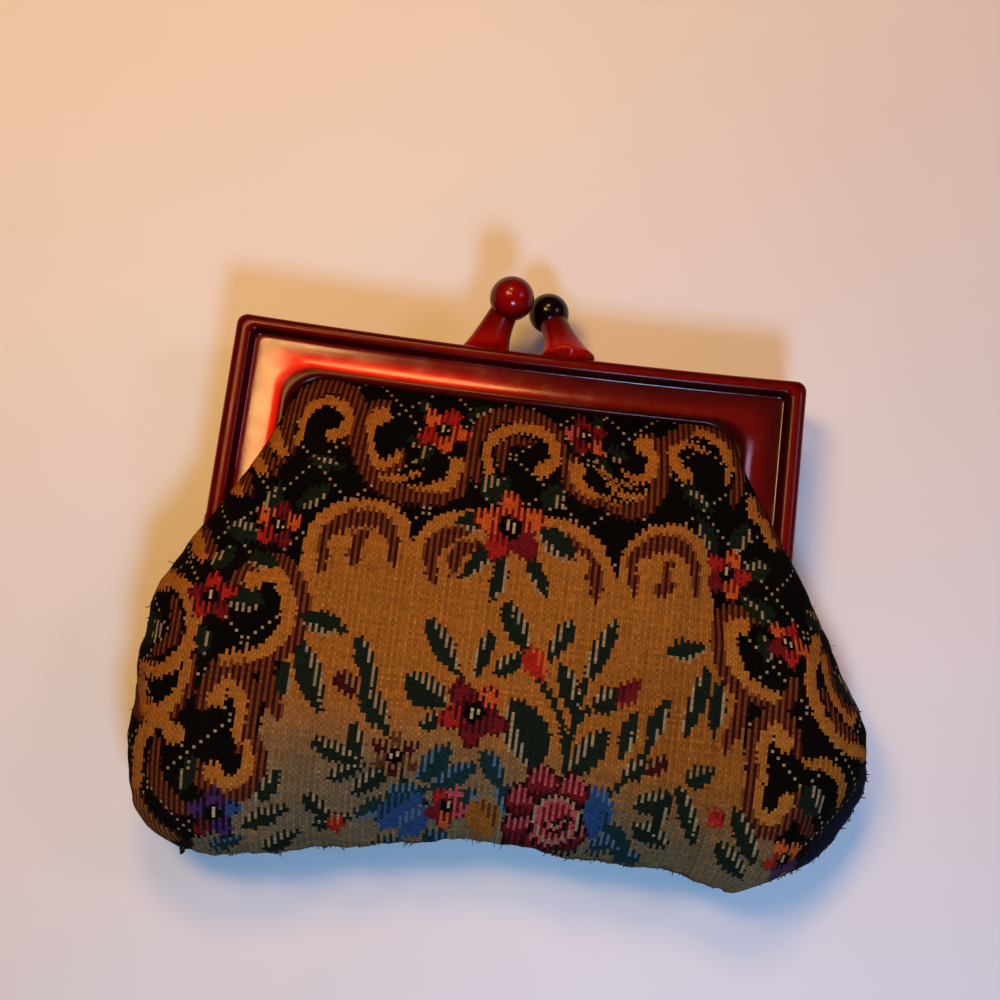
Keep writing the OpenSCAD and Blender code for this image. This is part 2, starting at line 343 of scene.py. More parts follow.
*half_shell, half_lights = swept_half()
half_quads = half_shell[1]
print("swept half:", len(half_shell[0]), "points,", len(half_quads), "quads")

# %% [markdown]
# At its foot each leg carries a lug with a round end, which turns on the hinge pin. The
# front half's lugs are the outer pair and the back half's are the inner pair. A lug is a
# plate: its outline is a half circle about the pin carried up into the leg, with a small
# rounding along both edges.

# %% Hinge lugs
EAR_RADIUS, EAR_THICKNESS, EAR_GAP = 4.5, 2.4, 0.2
EAR_BEVEL, EAR_SHRINK, PARTING_CLEARANCE = 0.25, 0.94, 0.12


def lug(inner_x):
    """Points and faces of a plate from inner_x outwards: a closed outline in y and z, drawn
    in four steps across the thickness so that its edges are rounded."""
    turn = np.linspace(np.pi * 0.5, np.pi * 2.0, 37)
    y = np.r_[FOOT + 1.5, -LEG_LENGTH + EAR_RADIUS * np.cos(turn), FOOT + 1.5]
    z = np.r_[EAR_RADIUS, EAR_RADIUS * np.sin(turn), PARTING_CLEARANCE]
    outline = np.c_[y, z]
    # The outline's end beside the parting plane stays in front of it.
    above = outline[:, 0] > -LEG_LENGTH + 0.5
    outline[above, 1] = np.maximum(outline[above, 1], PARTING_CLEARANCE)
    middle = outline.mean(0)
    rings = []
    for across, shrink in ((0.0, EAR_SHRINK), (EAR_BEVEL, 1.0),
                           (EAR_THICKNESS - EAR_BEVEL, 1.0), (EAR_THICKNESS, EAR_SHRINK)):
        ring = middle + (outline - middle) * shrink
        rings.append(np.c_[np.full(len(ring), inner_x + across), ring])
    points = np.r_[np.concatenate(rings), [[inner_x, *middle]], [[inner_x + EAR_THICKNESS, *middle]]]
    return points, grid_faces(len(rings), len(outline), wrap=True), end_caps(len(rings), len(outline))


def quads_and_triangles(name, parts):
    """One object from several closed shells of quads and triangles, each given as points,
    quads, triangles. The shells' normals are made to point outwards."""
    mesh = bpy.data.meshes.new(name)
    all_points, all_faces, start = [], [], 0
    for points, quads, triangles in parts:
        all_points.append(points)
        all_faces += (quads + start).tolist() + (triangles + start).tolist()
        start += len(points)
    mesh.from_pydata(np.concatenate(all_points), [], all_faces)
    mesh.shade_smooth()
    obj = bpy.data.objects.new(name, mesh)
    bpy.context.scene.collection.objects.link(obj)
    face_outwards(obj)
    return obj


def face_outwards(obj):
    """Turns the faces of closed shells outwards."""
    work = bmesh.new()
    work.from_mesh(obj.data)
    bmesh.ops.recalc_face_normals(work, faces=work.faces)
    work.to_mesh(obj.data)
    work.free()


# %% [markdown]
# ## The clasp
# Each half grows a short post that leans across the other one and ends in a ball, so the
# balls have to spring past each other. A post is a round bar whose radius flares into the
# frame's top edge: a circle carried along a curved axis, wider along the bar than across it.

# %% Posts and balls
BALL_RISE, BALL_REACH, BALL_CROSS = 9.0, {1: 4.0, -1: 3.0}, 3.0
FRONT_BALL_RADIUS, BACK_BALL_RADIUS = 3.7, 4.0


def post(lean):
    """Rings about an axis that runs from the bar to the ball. The radius falls fast near
    the foot and slowly after it, and the foot is stretched along the bar."""
    t = np.linspace(0, 1, 26)[:, None]
    foot = np.array([7.9 if lean > 0 else -6.6, -1.6, 2.6])
    ball = np.array([lean * BALL_REACH[lean], BALL_RISE, -BALL_CROSS])
    axis = foot + (ball - foot) * t
    axis[:, 0] += lean * 0.5 * np.sin(np.pi * t[:, 0])
    radius = 2.45 + 1.75 * (1 - t) ** 1.9
    turn = np.linspace(0, 2 * np.pi, 40, endpoint=False)
    wide = np.array([1.0, 0.0, 0.0])
    along = (ball - foot) / np.linalg.norm(ball - foot)
    wide = wide - along * (wide @ along)
    wide /= np.linalg.norm(wide)
    deep = np.cross(along, wide)
    stretch = 1.0 + 0.28 * (1 - t) ** 3
    rings = (axis[:, None, :] + (radius * stretch)[:, None, :] * np.cos(turn)[None, :, None] * wide
             + (radius * 0.86)[:, None, :] * np.sin(turn)[None, :, None] * deep)
    # The foot stays on its own side of the parting plane and sinks into the bar.
    inside = rings[:, :, 1] < 0.25
    top = 4.5 - 1.9 * smooth((-rings[:, :, 1] - 0.1) / 1.2)
    low_end = np.clip(rings[:, :, 2], PARTING_CLEARANCE, top)
    rings[:, :, 2] = np.where(inside, low_end, rings[:, :, 2])
    points = np.r_[rings.reshape(-1, 3), rings[[0, -1]].mean(1)]
    return points, grid_faces(len(t), len(turn), wrap=True), end_caps(len(t), len(turn))


def ball(centre, radius):
    """A sphere from rings between two poles, with a faint ridge where the mould parted."""
    polar = np.linspace(0, np.pi, 42)[1:-1, None]
    turn = np.linspace(0, 2 * np.pi, 64, endpoint=False)[None, :]
    x = np.sin(polar) * np.cos(turn)
    y = np.sin(polar) * np.sin(turn)
    z = np.cos(polar) * np.ones_like(turn)
    seam = 1.0 + 0.006 * np.exp(-(x / 0.035) ** 2)
    rings = np.stack([x * seam, y * seam, z * seam], -1) * radius + centre
    points = np.r_[rings.reshape(-1, 3), [centre + [0, 0, radius]], [centre - [0, 0, radius]]]
    return points, grid_faces(len(polar), turn.size, wrap=True), end_caps(len(polar), turn.size)


def to_back(part):
    """The same shell behind the parting plane."""
    points, quads, triangles = part
    return points * [1, 1, -1], quads, triangles


def in_place(part):
    """The shell's points in the model's frame."""
    points, quads, triangles = part
    return place(points), quads, triangles


front_ear = FRAME_HALF_WIDTH - EAR_THICKNESS
back_ear = front_ear - EAR_GAP - EAR_THICKNESS


def both_sides(part):
    """The shell and its mirror image on the left leg."""
    points, quads, triangles = part
    return [part, (points * [-1, 1, 1], quads, triangles)]


front_frame = quads_and_triangles("front_frame_moulding", [
    in_place(p) for p in [half_shell, *both_sides(lug(front_ear)), post(1)]])
back_frame = quads_and_triangles("back_frame_moulding", [
    in_place(to_back(p)) for p in [half_shell, *both_sides(lug(back_ear)), post(-1)]])
for obj in (front_frame, back_frame):
    co = np.empty(len(obj.data.vertices) * 3, np.float32)
    obj.data.vertices.foreach_get("co", co)
    x, y, z = (co.reshape(-1, 3) / MM - [0.0, bar_top, parting]).T
    # Posts carry a painted glow, palest at the foot, and whatever stands proud of the face is scuffed.
    values = 0.16 + 0.34 * smooth((7.5 - y) / 7.0)
    values[:len(half_lights)] = half_lights
    add_values(obj, "painted_glow", values)
    add_values(obj, "scuffed", smooth((np.abs(z) - 3.45) / 0.35))
front_ball = quads_and_triangles("front_ball", [
    in_place(ball(np.array([BALL_REACH[1], BALL_RISE, -BALL_CROSS]), FRONT_BALL_RADIUS))])
back_ball = quads_and_triangles("back_ball", [
    in_place(to_back(ball(np.array([-BALL_REACH[-1], BALL_RISE, -BALL_CROSS]), BACK_BALL_RADIUS)))])
for obj, body_name, cad in ((front_frame, "front_half", "front_frame"),
                            (back_frame, "back_half", "back_frame"),
                            (front_ball, "front_half", "front_clasp_ball"),
                            (back_ball, "back_half", "back_clasp_ball")):
    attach(obj, body_name)
    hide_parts(cad)
    print(obj.name, len(obj.data.polygons), "faces, rides on", body_name)

# %% [markdown]
# The plastic imitates tortoiseshell: a deep red that is nearly black where it is thick
# and glows where it is thin. Real light scattering in such thin walls is slow to render
# and hard to steer, so the glow is painted: the profile carries how thin the wall is and
# how brightly it glows, brighter towards the lit left side, and a slow cloud in the resin
# moves the colour a little. The polish is the resin's own reflection, weaker where hands
# rub it, and fine scratches break it up.

# %% Red plastic
def fine_scratches():
    """Node group. Height: stretched noise to the power six, which leaves hairlines. Haze:
    round noise cubed, for dust and finger marks. Both are times the strength."""
    group, source, target = new_group("fine_scratches", {"Strength": "Float"},
                                      {"Height": "Float", "Haze": "Float"})
    strength = source.outputs["Strength"]
    streak = node(group, "ShaderNodeMapping", {"Vector": own_place(group), "Scale": (60.0, 900.0, 300.0),
                                               "Rotation": (0.2, 0.1, 0.7)}).outputs[0]
    lines = node(group, "ShaderNodeTexNoise", {"Vector": streak, "Scale": 4.0,
                                               "Detail": 4.0}).outputs["Fac"]
    thin = maths(group, "POWER", lines, 6.0)
    group.links.new(maths(group, "MULTIPLY", thin, strength), target.inputs["Height"])
    blot = maths(group, "POWER", noise(group, 260.0, 4.0), 3.0)
    group.links.new(maths(group, "MULTIPLY", blot, strength), target.inputs["Haze"])
    return group


scratches = fine_scratches()


def red_plastic(name, thick, thin, cloud, index, gloss=0.5, painted=False):
    """Polished resin. Its colour is a painted glow: it runs from thick to thin by an attribute
    where that is painted, or else by how the surface faces the eye."""
    material, tree, shader = new_finish(name, thin)
    if painted:
        depth = node(tree, "ShaderNodeAttribute", attribute_name="painted_glow").outputs["Fac"]
    else:
        depth = node(tree, "ShaderNodeLayerWeight", {"Blend": 0.45}).outputs["Facing"]
    drift = maths(tree, "MULTIPLY_ADD", noise(tree, 55.0, 2.0), cloud * 2.0, -cloud)
    depth = node(tree, "ShaderNodeMath", {0: depth, 1: drift}, operation="ADD", use_clamp=True).outputs[0]
    marks = node(tree, "ShaderNodeGroup", {"Strength": 1.0}, node_tree=scratches)
    rough = maths(tree, "MULTIPLY_ADD", marks.outputs["Haze"], 0.4, 0.12)
    if painted:
        scuffed = node(tree, "ShaderNodeAttribute", attribute_name="scuffed").outputs["Fac"]
        rough = maths(tree, "MULTIPLY_ADD", scuffed, 0.04, rough)
    middle = tuple(0.30 * a + 0.70 * b * 0.28 for a, b in zip(thick, thin))
    feed(tree, shader, Base_Color=ramp(tree, depth, [(0.0, thick), (0.40, middle), (1.0, thin)]),
         Roughness=rough, Normal=bump(tree, marks.outputs["Height"], 0.12, 0.0002), IOR=index,
         Specular_IOR_Level=gloss, Subsurface_Weight=0.15, Subsurface_Radius=(1.0, 0.12, 0.06),
         Subsurface_Scale=0.003)
    return material


# The face is polished; the bead and the lip, which hands rub, are duller.
FRAME_THICK, FRAME_THIN = (0.014, 0.0006, 0.0004), (0.95, 0.0120, 0.0020)
rubbed_red = red_plastic("rubbed_red", FRAME_THICK, FRAME_THIN, 0.08, 1.34, 0.22, painted=True)
frame_red = red_plastic("frame_red", FRAME_THICK, FRAME_THIN, 0.08, 1.34, 0.80, painted=True)
ball_red = red_plastic("ball_red", (0.26, 0.0012, 0.0014), (0.11, 0.0008, 0.0008), 0.05, 1.32)
# The front ball is the same resin as the back one; its near-black colour is painted shade, for how dark
# the solid sphere looks.
ball_shaded_red = red_plastic("ball_shaded_red", (0.0060, 0.0004, 0.0004), (0.012, 0.0005, 0.0004), 0.0, 1.32)
across = np.tile(PROFILE[:, 0], len(outer_edge))[half_quads].mean(1)
above = np.tile(PROFILE[:, 1], len(outer_edge))[half_quads].mean(1)
polished = (across > 0.33) & (across < 0.86) & (above > 3.0)
for obj in (front_frame, back_frame):
    which = np.zeros(len(obj.data.polygons), np.int32)
    which[:len(polished)] = polished
    obj.data.materials.append(rubbed_red)
    obj.data.polygons.foreach_set("material_index", which)
    print(obj.name, int(which.sum()), "polished faces")
for obj, finish, slot in ((front_frame, frame_red, "frame_plastic"),
                          (back_frame, frame_red, "frame_plastic"),
                          (back_ball, ball_red, "ball_plastic"), (front_ball, ball_shaded_red, "ball_plastic")):
    obj.data.materials.append(finish)

# %% [markdown]
# ## The bag's form
# Two panels of tapestry are cut to one outline, sewn together round the sides and bottom,
# and turned. The cloth comes out from under the frame's lip, billows over the legs and
# fills out into a belly. Its outline is a few measured places joined smoothly: how far the
# edge reaches left and right at each height, and where the bottom edge runs.

# %% Outline of the bag
# Height from the bar's top edge, reach to the left, reach to the right.
SIDES = np.array([
    (-6.0, -36.6, 37.0), (-10.0, -37.2, 37.6), (-12.5, -38.8, 38.9), (-14.0, -39.3, 39.4),
    (-16.0, -39.6, 40.0), (-20.0, -40.7, 42.2), (-25.0, -42.8, 45.3), (-30.0, -45.4, 48.5),
    (-35.0, -48.4, 51.9),
    (-40.0, -51.8, 55.4), (-45.0, -55.0, 58.8), (-50.0, -57.4, 61.8), (-55.0, -58.7, 64.3),
    (-60.0, -59.1, 66.1), (-65.0, -58.8, 67.3), (-70.0, -58.4, 67.1), (-75.0, -58.0, 65.4),
    (-80.0, -57.3, 61.9), (-84.0, -56.5, 57.6), (-87.0, -55.2, 50.9), (-90.0, -53.0, 44.0),
    (-93.0, -47.3, 37.1), (-99.0, -31.7, 25.5)])
# The front panel's lower right corner is folded under along a slant.
FOLDED_RIGHT = np.array([
    (-6.0, 0.0), (-60.5, 0.0), (-64.0, -0.7), (-68.0, -1.7), (-72.0, -2.7), (-77.0, -3.1),
    (-81.5, -2.3), (-84.5, -1.0), (-87.0, 0.0), (-99.0, 0.0)])
BOTTOM = np.array([
    (-61.0, -93.9), (-46.0, -93.1), (-36.5, -92.3), (-26.0, -90.9), (-17.0, -88.9), (-10.0, -87.1),
    (-3.0, -86.0), (5.0, -85.9), (13.0, -86.1), (23.0, -86.4), (32.5, -86.9), (41.0, -88.0),
    (48.3, -89.0), (55.3, -87.6), (72.0, -84.1)])
# Height, the edge's height over the parting plane, the middle's height, and how far in
# from the edge the cloth takes to reach it.
SWELL = np.array([
    (-6.0, 1.6, 1.6, 2.0), (-9.2, 1.8, 1.9, 2.0), (-10.0, 2.0, 3.0, 2.4), (-12.0, 2.6, 5.0, 3.0),
    (-14.0, 4.4, 6.6, 4.0), (-17.0, 5.2, 8.2, 5.5), (-22.0, 5.3, 9.8, 7.5), (-30.0, 5.4, 11.2, 9.5),
    (-35.0, 4.9, 11.8, 10.5), (-39.0, 3.2, 12.1, 11.5), (-43.0, 1.4, 12.3, 13.0),
    (-47.0, 0.15, 12.5, 14.5),
    (-54.0, 0.05, 12.5, 16.0), (-99.0, 0.05, 12.5, 16.0)])
HEM_RUN = 17.0


def between(where, table, column):
    """A measured column at any height, joined by straight lines and then eased: the mean
    of the value there and a little to either side."""
    order = np.argsort(table[:, 0])
    at, value = table[order, 0], table[order, column]
    return sum(np.interp(where + shift, at, value) for shift in (-1.2, -0.4, 0.4, 1.2)) / 4.0


# A quarter of an ellipse, three quarters as high as it is long: how far along the cloth,
# how far in, and what share of the height.
turn = np.linspace(0, np.pi / 2, 240)
edge_in, edge_up = 1 - np.cos(turn), np.sin(turn)
edge_along = np.r_[0, np.cumsum(np.hypot(np.diff(edge_in), 0.75 * np.diff(edge_up)))]
SPARE = edge_along[-1] - 1.0


def rounded_edge(along, run):
    """Goes from a distance along the cloth, in from its edge, to the distance seen from above
    and the share of the full height, round a quarter ellipse of the given run."""
    t = np.maximum(along, 0.0) / run
    seen = np.where(t > edge_along[-1], t - SPARE, np.interp(t, edge_along, edge_in))
    return seen * run, np.interp(t, edge_along, edge_up)


def seam_waver(along):
    """The seam was turned by hand: three waves that never quite repeat, each under half a
    millimetre."""
    return (0.34 * np.sin(along * 0.21 + 0.4) + 0.18 * np.sin(along * 0.53 + 1.9)
            + 0.07 * np.sin(along * 1.7))


def side_reach(y, side, folded):
    """Where the cloth's edge is at height y, on the left (side -1) or right (side 1)."""
    reach = between(y, SIDES, 1 if side < 0 else 2)
    reach = reach + side * seam_waver(y + 9.0 * side) * smooth((-y - 34.0) / 8.0)
    return reach + (between(y, FOLDED_RIGHT, 1) if folded and side > 0 else 0.0)


def bag_surface(flat, folded):
    """Puts points of the flat cloth on the bag. Each point is measured in from the bottom
    edge and from the nearer side, taken round the rounded edge there, and raised by the
    product of both shares. Also gives the distances to the side and the bottom."""
    flat_x, flat_y = flat[:, 0], flat[:, 1]
    bottom = between(flat_x, BOTTOM, 1) + 1.2 * seam_waver(flat_x)
    from_bottom = flat_y - bottom + SPARE * HEM_RUN
    seen, up_bottom = rounded_edge(from_bottom, HEM_RUN)
    y = bottom + seen
    run = between(y, SWELL, 3)
    left, right = side_reach(y, -1, folded), side_reach(y, 1, folded)
    on_left = flat_x < 0
    from_side = np.where(on_left, flat_x - left, right - flat_x) + SPARE * run
    seen, up_side = rounded_edge(from_side, run)
    x = np.where(on_left, left + seen, right - seen)
    edge, middle = between(y, SWELL, 1), between(y, SWELL, 2)
    dome = 1.0 - 0.09 * (x / 60.0) ** 2 - 0.05 * smooth((-y - 62.0) / 20.0)
    z = (edge + (middle * dome - edge) * up_side) * up_bottom ** 0.9
    return np.stack([x, y, z], 1), from_side, from_bottom


print("spare cloth round a rounded edge, as a share of its run:", round(SPARE, 3))

# %% [markdown]
# The cloth is laid out on its loom: one face for each crossing of a warp pair's half and a
# bundle of weft, half a millimetre across. The flat grid is cut to the outline by leaving
# out the faces beyond it, and the cut edge is then drawn onto the outline, so that every
# thread stays straight in the cloth and the pattern's edges step as woven ones do.

# %% Cut a panel from the loom
WARP_PITCH, WEFT_PITCH = 0.5, 0.47
LOOM_LEFT, LOOM_RIGHT, LOOM_TOP, LOOM_FOOT = -72.0, 78.0, -7.0, -100.0
NEAREST_EDGE = 0.15


def cut_panel(folded, warp=WARP_PITCH, weft=WEFT_PITCH, whole=False):
    """Flat points, faces (as corners), and each face's column and row on the loom. With
    whole, only faces that lie inside with all their corners, and nothing is drawn out."""
    xs = np.arange(LOOM_LEFT, LOOM_RIGHT, warp)
    ys = np.arange(LOOM_TOP, LOOM_FOOT, -weft)
    flat = np.stack(np.meshgrid(xs, ys), -1).reshape(-1, 2)
    faces = grid_faces(len(ys), len(xs))[:, ::-1]
    column, row = np.meshgrid(np.arange(len(xs) - 1), np.arange(len(ys) - 1))
    centre = flat[faces].mean(1)
    _, side, low = bag_surface(centre, folded)
    keep = (side > NEAREST_EDGE) & (low > NEAREST_EDGE)
    if whole:
        _, side, low = bag_surface(flat, folded)
        keep = ((side > NEAREST_EDGE) & (low > NEAREST_EDGE))[faces].all(1)
    faces, column, row = faces[keep], column.ravel()[keep], row.ravel()[keep]
    used, faces = np.unique(faces, return_inverse=True)
    faces = faces.reshape(-1, 4)
    flat = flat[used]
    if whole:
        return flat, faces, column, row
    # A point on the cut edge belongs to fewer than four faces: draw it onto the outline.
    shared = np.bincount(faces.ravel(), minlength=len(flat))
    _, side, low = bag_surface(flat, folded)
    at_edge = (shared < 4) & (flat[:, 1] < ys[0] - 0.01)
    to_side = at_edge & (side < low)
    to_low = at_edge & ~to_side
    flat[:, 0] += np.where(to_side, np.sign(flat[:, 0]) * side, 0.0)
    flat[:, 1] -= np.where(to_low, low, 0.0)
    return flat, faces, column, row


flat, faces, column, row = cut_panel(folded=True)
print("front panel:", len(flat), "points,", len(faces), "crossings")

# %% [markdown]
# The form above is what the pattern cutter intends. Real cloth is a little too large for it, so
# it settles into soft dents. Blender's Cloth works this out on a coarse copy of the front
# panel, a thread every two and a half millimetres: its rim is held, it is cut a few percent
# large, and the purse's contents push from inside. Cloth is unstable at a few
# centimetres, so the copy is built twenty times life size. Only the movement is kept. It is
# spread over the fine cloth with a cubic B-spline, capped, and faded out by the frame.

# %% Let the cloth settle
COARSE, GRID_ROWS, GRID_COLUMNS = 2.5, 40, 62
ENLARGED, STEPS, LARGEST_MOVE = 20 * MM, 30, 2.2


def settle():
    """Movement of a coarse grid of the front panel, as an array by row and column. A move's
    length r becomes the largest move times the hyperbolic tangent of r over it."""
    cut, cut_faces, _, _ = cut_panel(True, COARSE, COARSE, whole=True)
    start, _, _ = bag_surface(cut, True)
    moved = np.zeros((GRID_ROWS, GRID_COLUMNS, 3))
    obj = make_piece("settling", start * ENLARGED, cut_faces)
    shared = np.bincount(cut_faces.ravel(), minlength=len(cut))
    held = (shared < 4) | (cut[:, 1] > -13.0)
    obj.vertex_groups.new(name="held").add(np.flatnonzero(held).tolist(), 1.0, "REPLACE")
    cloth = obj.modifiers.new("cloth", "CLOTH")
    cloth.settings.quality = 8
    cloth.settings.vertex_group_mass = "held"
    cloth.settings.mass = 0.4
    cloth.settings.tension_stiffness = cloth.settings.compression_stiffness = 20.0
    cloth.settings.shear_stiffness = 6.0
    cloth.settings.bending_stiffness = 4.0
    cloth.settings.shrink_min = -0.035
    cloth.settings.use_pressure = True
    cloth.settings.uniform_pressure_force = 1.2
    cloth.settings.effector_weights.gravity = 0.35
    scene = bpy.context.scene
    for step in range(1, STEPS + 1):
        scene.frame_set(step)
    shape = obj.evaluated_get(bpy.context.evaluated_depsgraph_get()).to_mesh()
    end = np.empty(len(shape.vertices) * 3, np.float32)
    shape.vertices.foreach_get("co", end)
    scene.frame_set(1)
    bpy.data.objects.remove(obj)
    move = end.reshape(-1, 3) / ENLARGED - start
    reach = np.linalg.norm(move, axis=1, keepdims=True)
    move *= np.tanh(reach / LARGEST_MOVE) * LARGEST_MOVE / np.maximum(reach, 1e-6)
    j = np.rint((cut[:, 0] - LOOM_LEFT) / COARSE).astype(int).clip(0, GRID_COLUMNS - 1)
    i = np.rint((LOOM_TOP - cut[:, 1]) / COARSE).astype(int).clip(0, GRID_ROWS - 1)
    moved[i[~held], j[~held]] = move[~held]
    print("settled: moves up to", round(float(reach.max()), 2), "mm before the cap")
    return moved


def spline_weights(t):
    """The four weights of a uniform cubic B-spline at t between two knots."""
    return np.stack([(1 - t) ** 3, 3 * t ** 3 - 6 * t ** 2 + 4,
                     -3 * t ** 3 + 3 * t ** 2 + 3 * t + 1, t ** 3], 1) / 6


def settled(flat, moved):
    """The movement at flat points: a weighted sum of 4 by 4 grid values, faded to nothing
    near the frame."""
    u = ((flat[:, 0] - LOOM_LEFT) / COARSE).clip(1, GRID_COLUMNS - 2.01)
    v = ((LOOM_TOP - flat[:, 1]) / COARSE).clip(1, GRID_ROWS - 2.01)
    j, i = u.astype(int), v.astype(int)
    across, down = spline_weights(u - j), spline_weights(v - i)
    rows = i[:, None, None] + np.arange(-1, 3)[None, :, None]
    columns = j[:, None, None] + np.arange(-1, 3)[None, None, :]
    total = (moved[rows, columns] * (down[:, :, None] * across[:, None, :])[..., None]).sum((1, 2))
    by_leg = smooth((np.abs(flat[:, 0]) - 30.0) / 8.0) * smooth((flat[:, 1] + 50.0) / 8.0)
    free = smooth((-flat[:, 1] - 11.0) / 9.0) * (1.0 - by_leg)
    return total * free[:, None]


movement = settle()

# %% [markdown]
# ## The woven picture
# A jacquard picture is a chart: a colour for every crossing. Warp threads alternate, so a
# motif is given two yarns, one for even columns and one for odd, and two different yarns
# make the fine stripes of the shaded parts. The motifs are scrolls, leaves and flowers in
# a repeating furnishing style, drawn here as curves with a width, and as petals about a
# centre. Each is painted over what lies under it.

# %% Yarns and the chart
YARN = {
    "ground": (0.0020, 0.0014, 0.0009), "gold": (0.290, 0.103, 0.014), "amber": (0.215, 0.072, 0.009),
    "copper": (0.245, 0.085, 0.011), "russet": (0.110, 0.032, 0.006), "ecru": (0.165, 0.098, 0.036),
    "grey": (0.105, 0.082, 0.046), "cream": (0.360, 0.270, 0.135), "straw": (0.235, 0.170, 0.082),
    "maroon": (0.034, 0.0036, 0.0040), "wine": (0.110, 0.006, 0.008), "red": (0.270, 0.012, 0.007),
    "orange": (0.400, 0.070, 0.011), "pink": (0.320, 0.055, 0.052), "green": (0.006, 0.011, 0.006),
    "pine": (0.006, 0.022, 0.020), "blue": (0.016, 0.046, 0.115), "sky": (0.060, 0.105, 0.155),
    "violet": (0.045, 0.014, 0.065), "brown": (0.070, 0.022, 0.007), "night": (0.004, 0.0035, 0.009)}
YARN = {name: np.array(colour) for name, colour in YARN.items()}


# Where the picture lies on the bag: its own x and y as sums of 1, x, y, z, x squared, xy and
# y squared of the bag. The cloth was sewn in a little askew and stretched over the belly.
LIE = np.array([
    (-0.7431, 0.5751), (1.0133, -0.0050), (0.0538, 1.0090), (-0.1386, -0.0228),
    (0.0007, 0.0), (0.0002, 0.0007), (0.0, 0.0001)])


class Chart:
    """The picture on the loom: for each crossing its place in the picture, an even and an
    odd yarn, and how far the floats stand up."""

    def __init__(self, seen, column, row):
        x, y, z = seen.T
        self.at = np.stack([np.ones_like(x), x, y, z, x * x, x * y, y * y], 1) @ LIE
        # The edges of a motif step unevenly, as threads do: up and down from one column to
        # the next, and a little sideways from row to row.
        chance = np.random.default_rng(3)
        self.at[:, 1] += 0.26 * (column % 2 * 2 - 1) + chance.normal(0, 0.15, column.max() + 1)[column]
        self.at[:, 0] += chance.normal(0, 0.14, row.max() + 1)[row]
        self.column, self.row = column, row
        self.even = np.tile(YARN["ground"], (len(seen), 1))
        self.odd = self.even.copy()
        self.raised = np.zeros(len(seen))

    def paint(self, where, even, odd=None, raised=0.5):
        """Gives the crossings in where an even and an odd yarn."""
        self.even[where], self.odd[where] = YARN[even], YARN[odd or even]
        self.raised[where] = raised

    def along(self, points, reach):
        """Crossings within reach of a smooth curve through the points (a Catmull-Rom
        spline): their indices, signed distances and shares of the way along."""
        p = np.array(points, float)
        q = np.vstack([2 * p[0] - p[1], p, 2 * p[-1] - p[-2]])
        t = np.linspace(0, len(p) - 1, 18 * (len(p) - 1) + 1)
        k = np.minimum(t.astype(int), len(p) - 2)
        f = (t - k)[:, None]
        a, b, c, d = q[k], q[k + 1], q[k + 2], q[k + 3]
        curve = 0.5 * (2 * b + (c - a) * f + (2 * a - 5 * b + 4 * c - d) * f ** 2
                       + (3 * b - a - 3 * c + d) * f ** 3)
        low, high = curve.min(0) - reach, curve.max(0) + reach
        near = np.flatnonzero(((self.at > low) & (self.at < high)).all(1))
        away = self.at[near][:, None, :] - curve[None]
        distance = np.hypot(away[..., 0], away[..., 1])
        best = distance.argmin(1)
        ahead = np.gradient(curve, axis=0)[best]
        offset = away[np.arange(len(near)), best]
        side = np.sign(ahead[:, 0] * offset[:, 1] - ahead[:, 1] * offset[:, 0])
        return near, side * distance.min(1), best / (len(curve) - 1.0)

    def scroll(self, points, gold=2.2, stripe=2.2, side=1, ball=1.7, tail=0.35):
        """A curling band: solid gold along the curve and gold with maroon stripes along its
        outer side. It starts in a round curl and thins towards its tail."""
        near, across, share = self.along(points, gold + stripe + 1.0)
        width = np.minimum(1.0, tail + (1 - tail) * 2.2 * (1 - share))
        across = across * side
        inner = np.abs(across) < 0.5 * gold * width
        outer = (across > 0.5 * gold * width - 0.1) & (across < (0.5 * gold + stripe) * width)
        self.paint(near[outer], "russet", "maroon", 0.8)
        self.paint(near[inner], "gold", "gold", 1.0)
        if ball:
            start = np.array(points[0], float)
            self.paint(np.hypot(*(self.at - start).T) < ball, "gold", "gold", 1.0)

    def stripes(self, points, width, even="russet", odd="maroon", tail=0.4):
        """A band of alternate yarns along a curve, thinner at both ends."""
        near, across, share = self.along(points, width)
        ease = tail + (1 - tail) * np.sin(np.pi * share) ** 0.6
        self.paint(near[np.abs(across) < 0.5 * width * ease], even, odd, 0.8)

    def leaf(self, x0, y0, x1, y1, width, bend=0.0, dark="green", pale="straw", swell=1.14):
        """A pointed leaf from its base to its tip, wider than drawn by swell, as the weave
        spreads it. One half is solid and the other striped; a negative width swaps them."""
        width = width * swell
        base, tip = np.array([x0, y0]), np.array([x1, y1])
        normal = np.array([y0 - y1, x1 - x0]) / np.hypot(x1 - x0, y1 - y0)
        points = [base, 0.5 * (base + tip) + normal * bend, tip]
        near, across, share = self.along(points, abs(width))
        half = 0.5 * abs(width) * np.sin(np.pi * share ** 0.85) ** 0.8
        body = np.abs(across) < half
        shaded = body & (across * np.sign(width) > 0.12 * abs(width))
        self.paint(near[body], dark, dark, 0.6)
        self.paint(near[shaded], dark, pale, 0.7)

    def flower(self, x, y, radius, petals, start=90.0, pair="wine", centre="cream"):
        """Petals about a centre: the outline's radius swells and falls once for each petal.
        A dark ring holds a pale eye."""
        away = self.at - [x, y]
        r = np.hypot(*away.T)
        angle = (np.degrees(np.arctan2(away[:, 1], away[:, 0])) - start) % 360.0
        turn = angle * len(petals) / 360.0
        which = np.round(turn).astype(int) % len(petals)
        edge = radius * (0.62 + 0.38 * np.abs(np.cos(np.pi * (turn - np.round(turn)))) ** 1.6)
        for index, colour in enumerate(petals):
            here = (r < edge) & (which == index)
            self.paint(here, colour, colour, 0.9)
            rim = (np.abs(turn - np.round(turn)) > 0.27) | (r > 0.84 * edge)
            self.paint(here & rim, colour, pair, 0.9)
            self.paint(here & (r < 0.55 * radius), colour, pair, 0.9)
        self.paint(r < 0.30 * radius, "ground", "ground", 0.3)
        self.paint(r < 0.17 * radius, centre, "ground", 0.8)

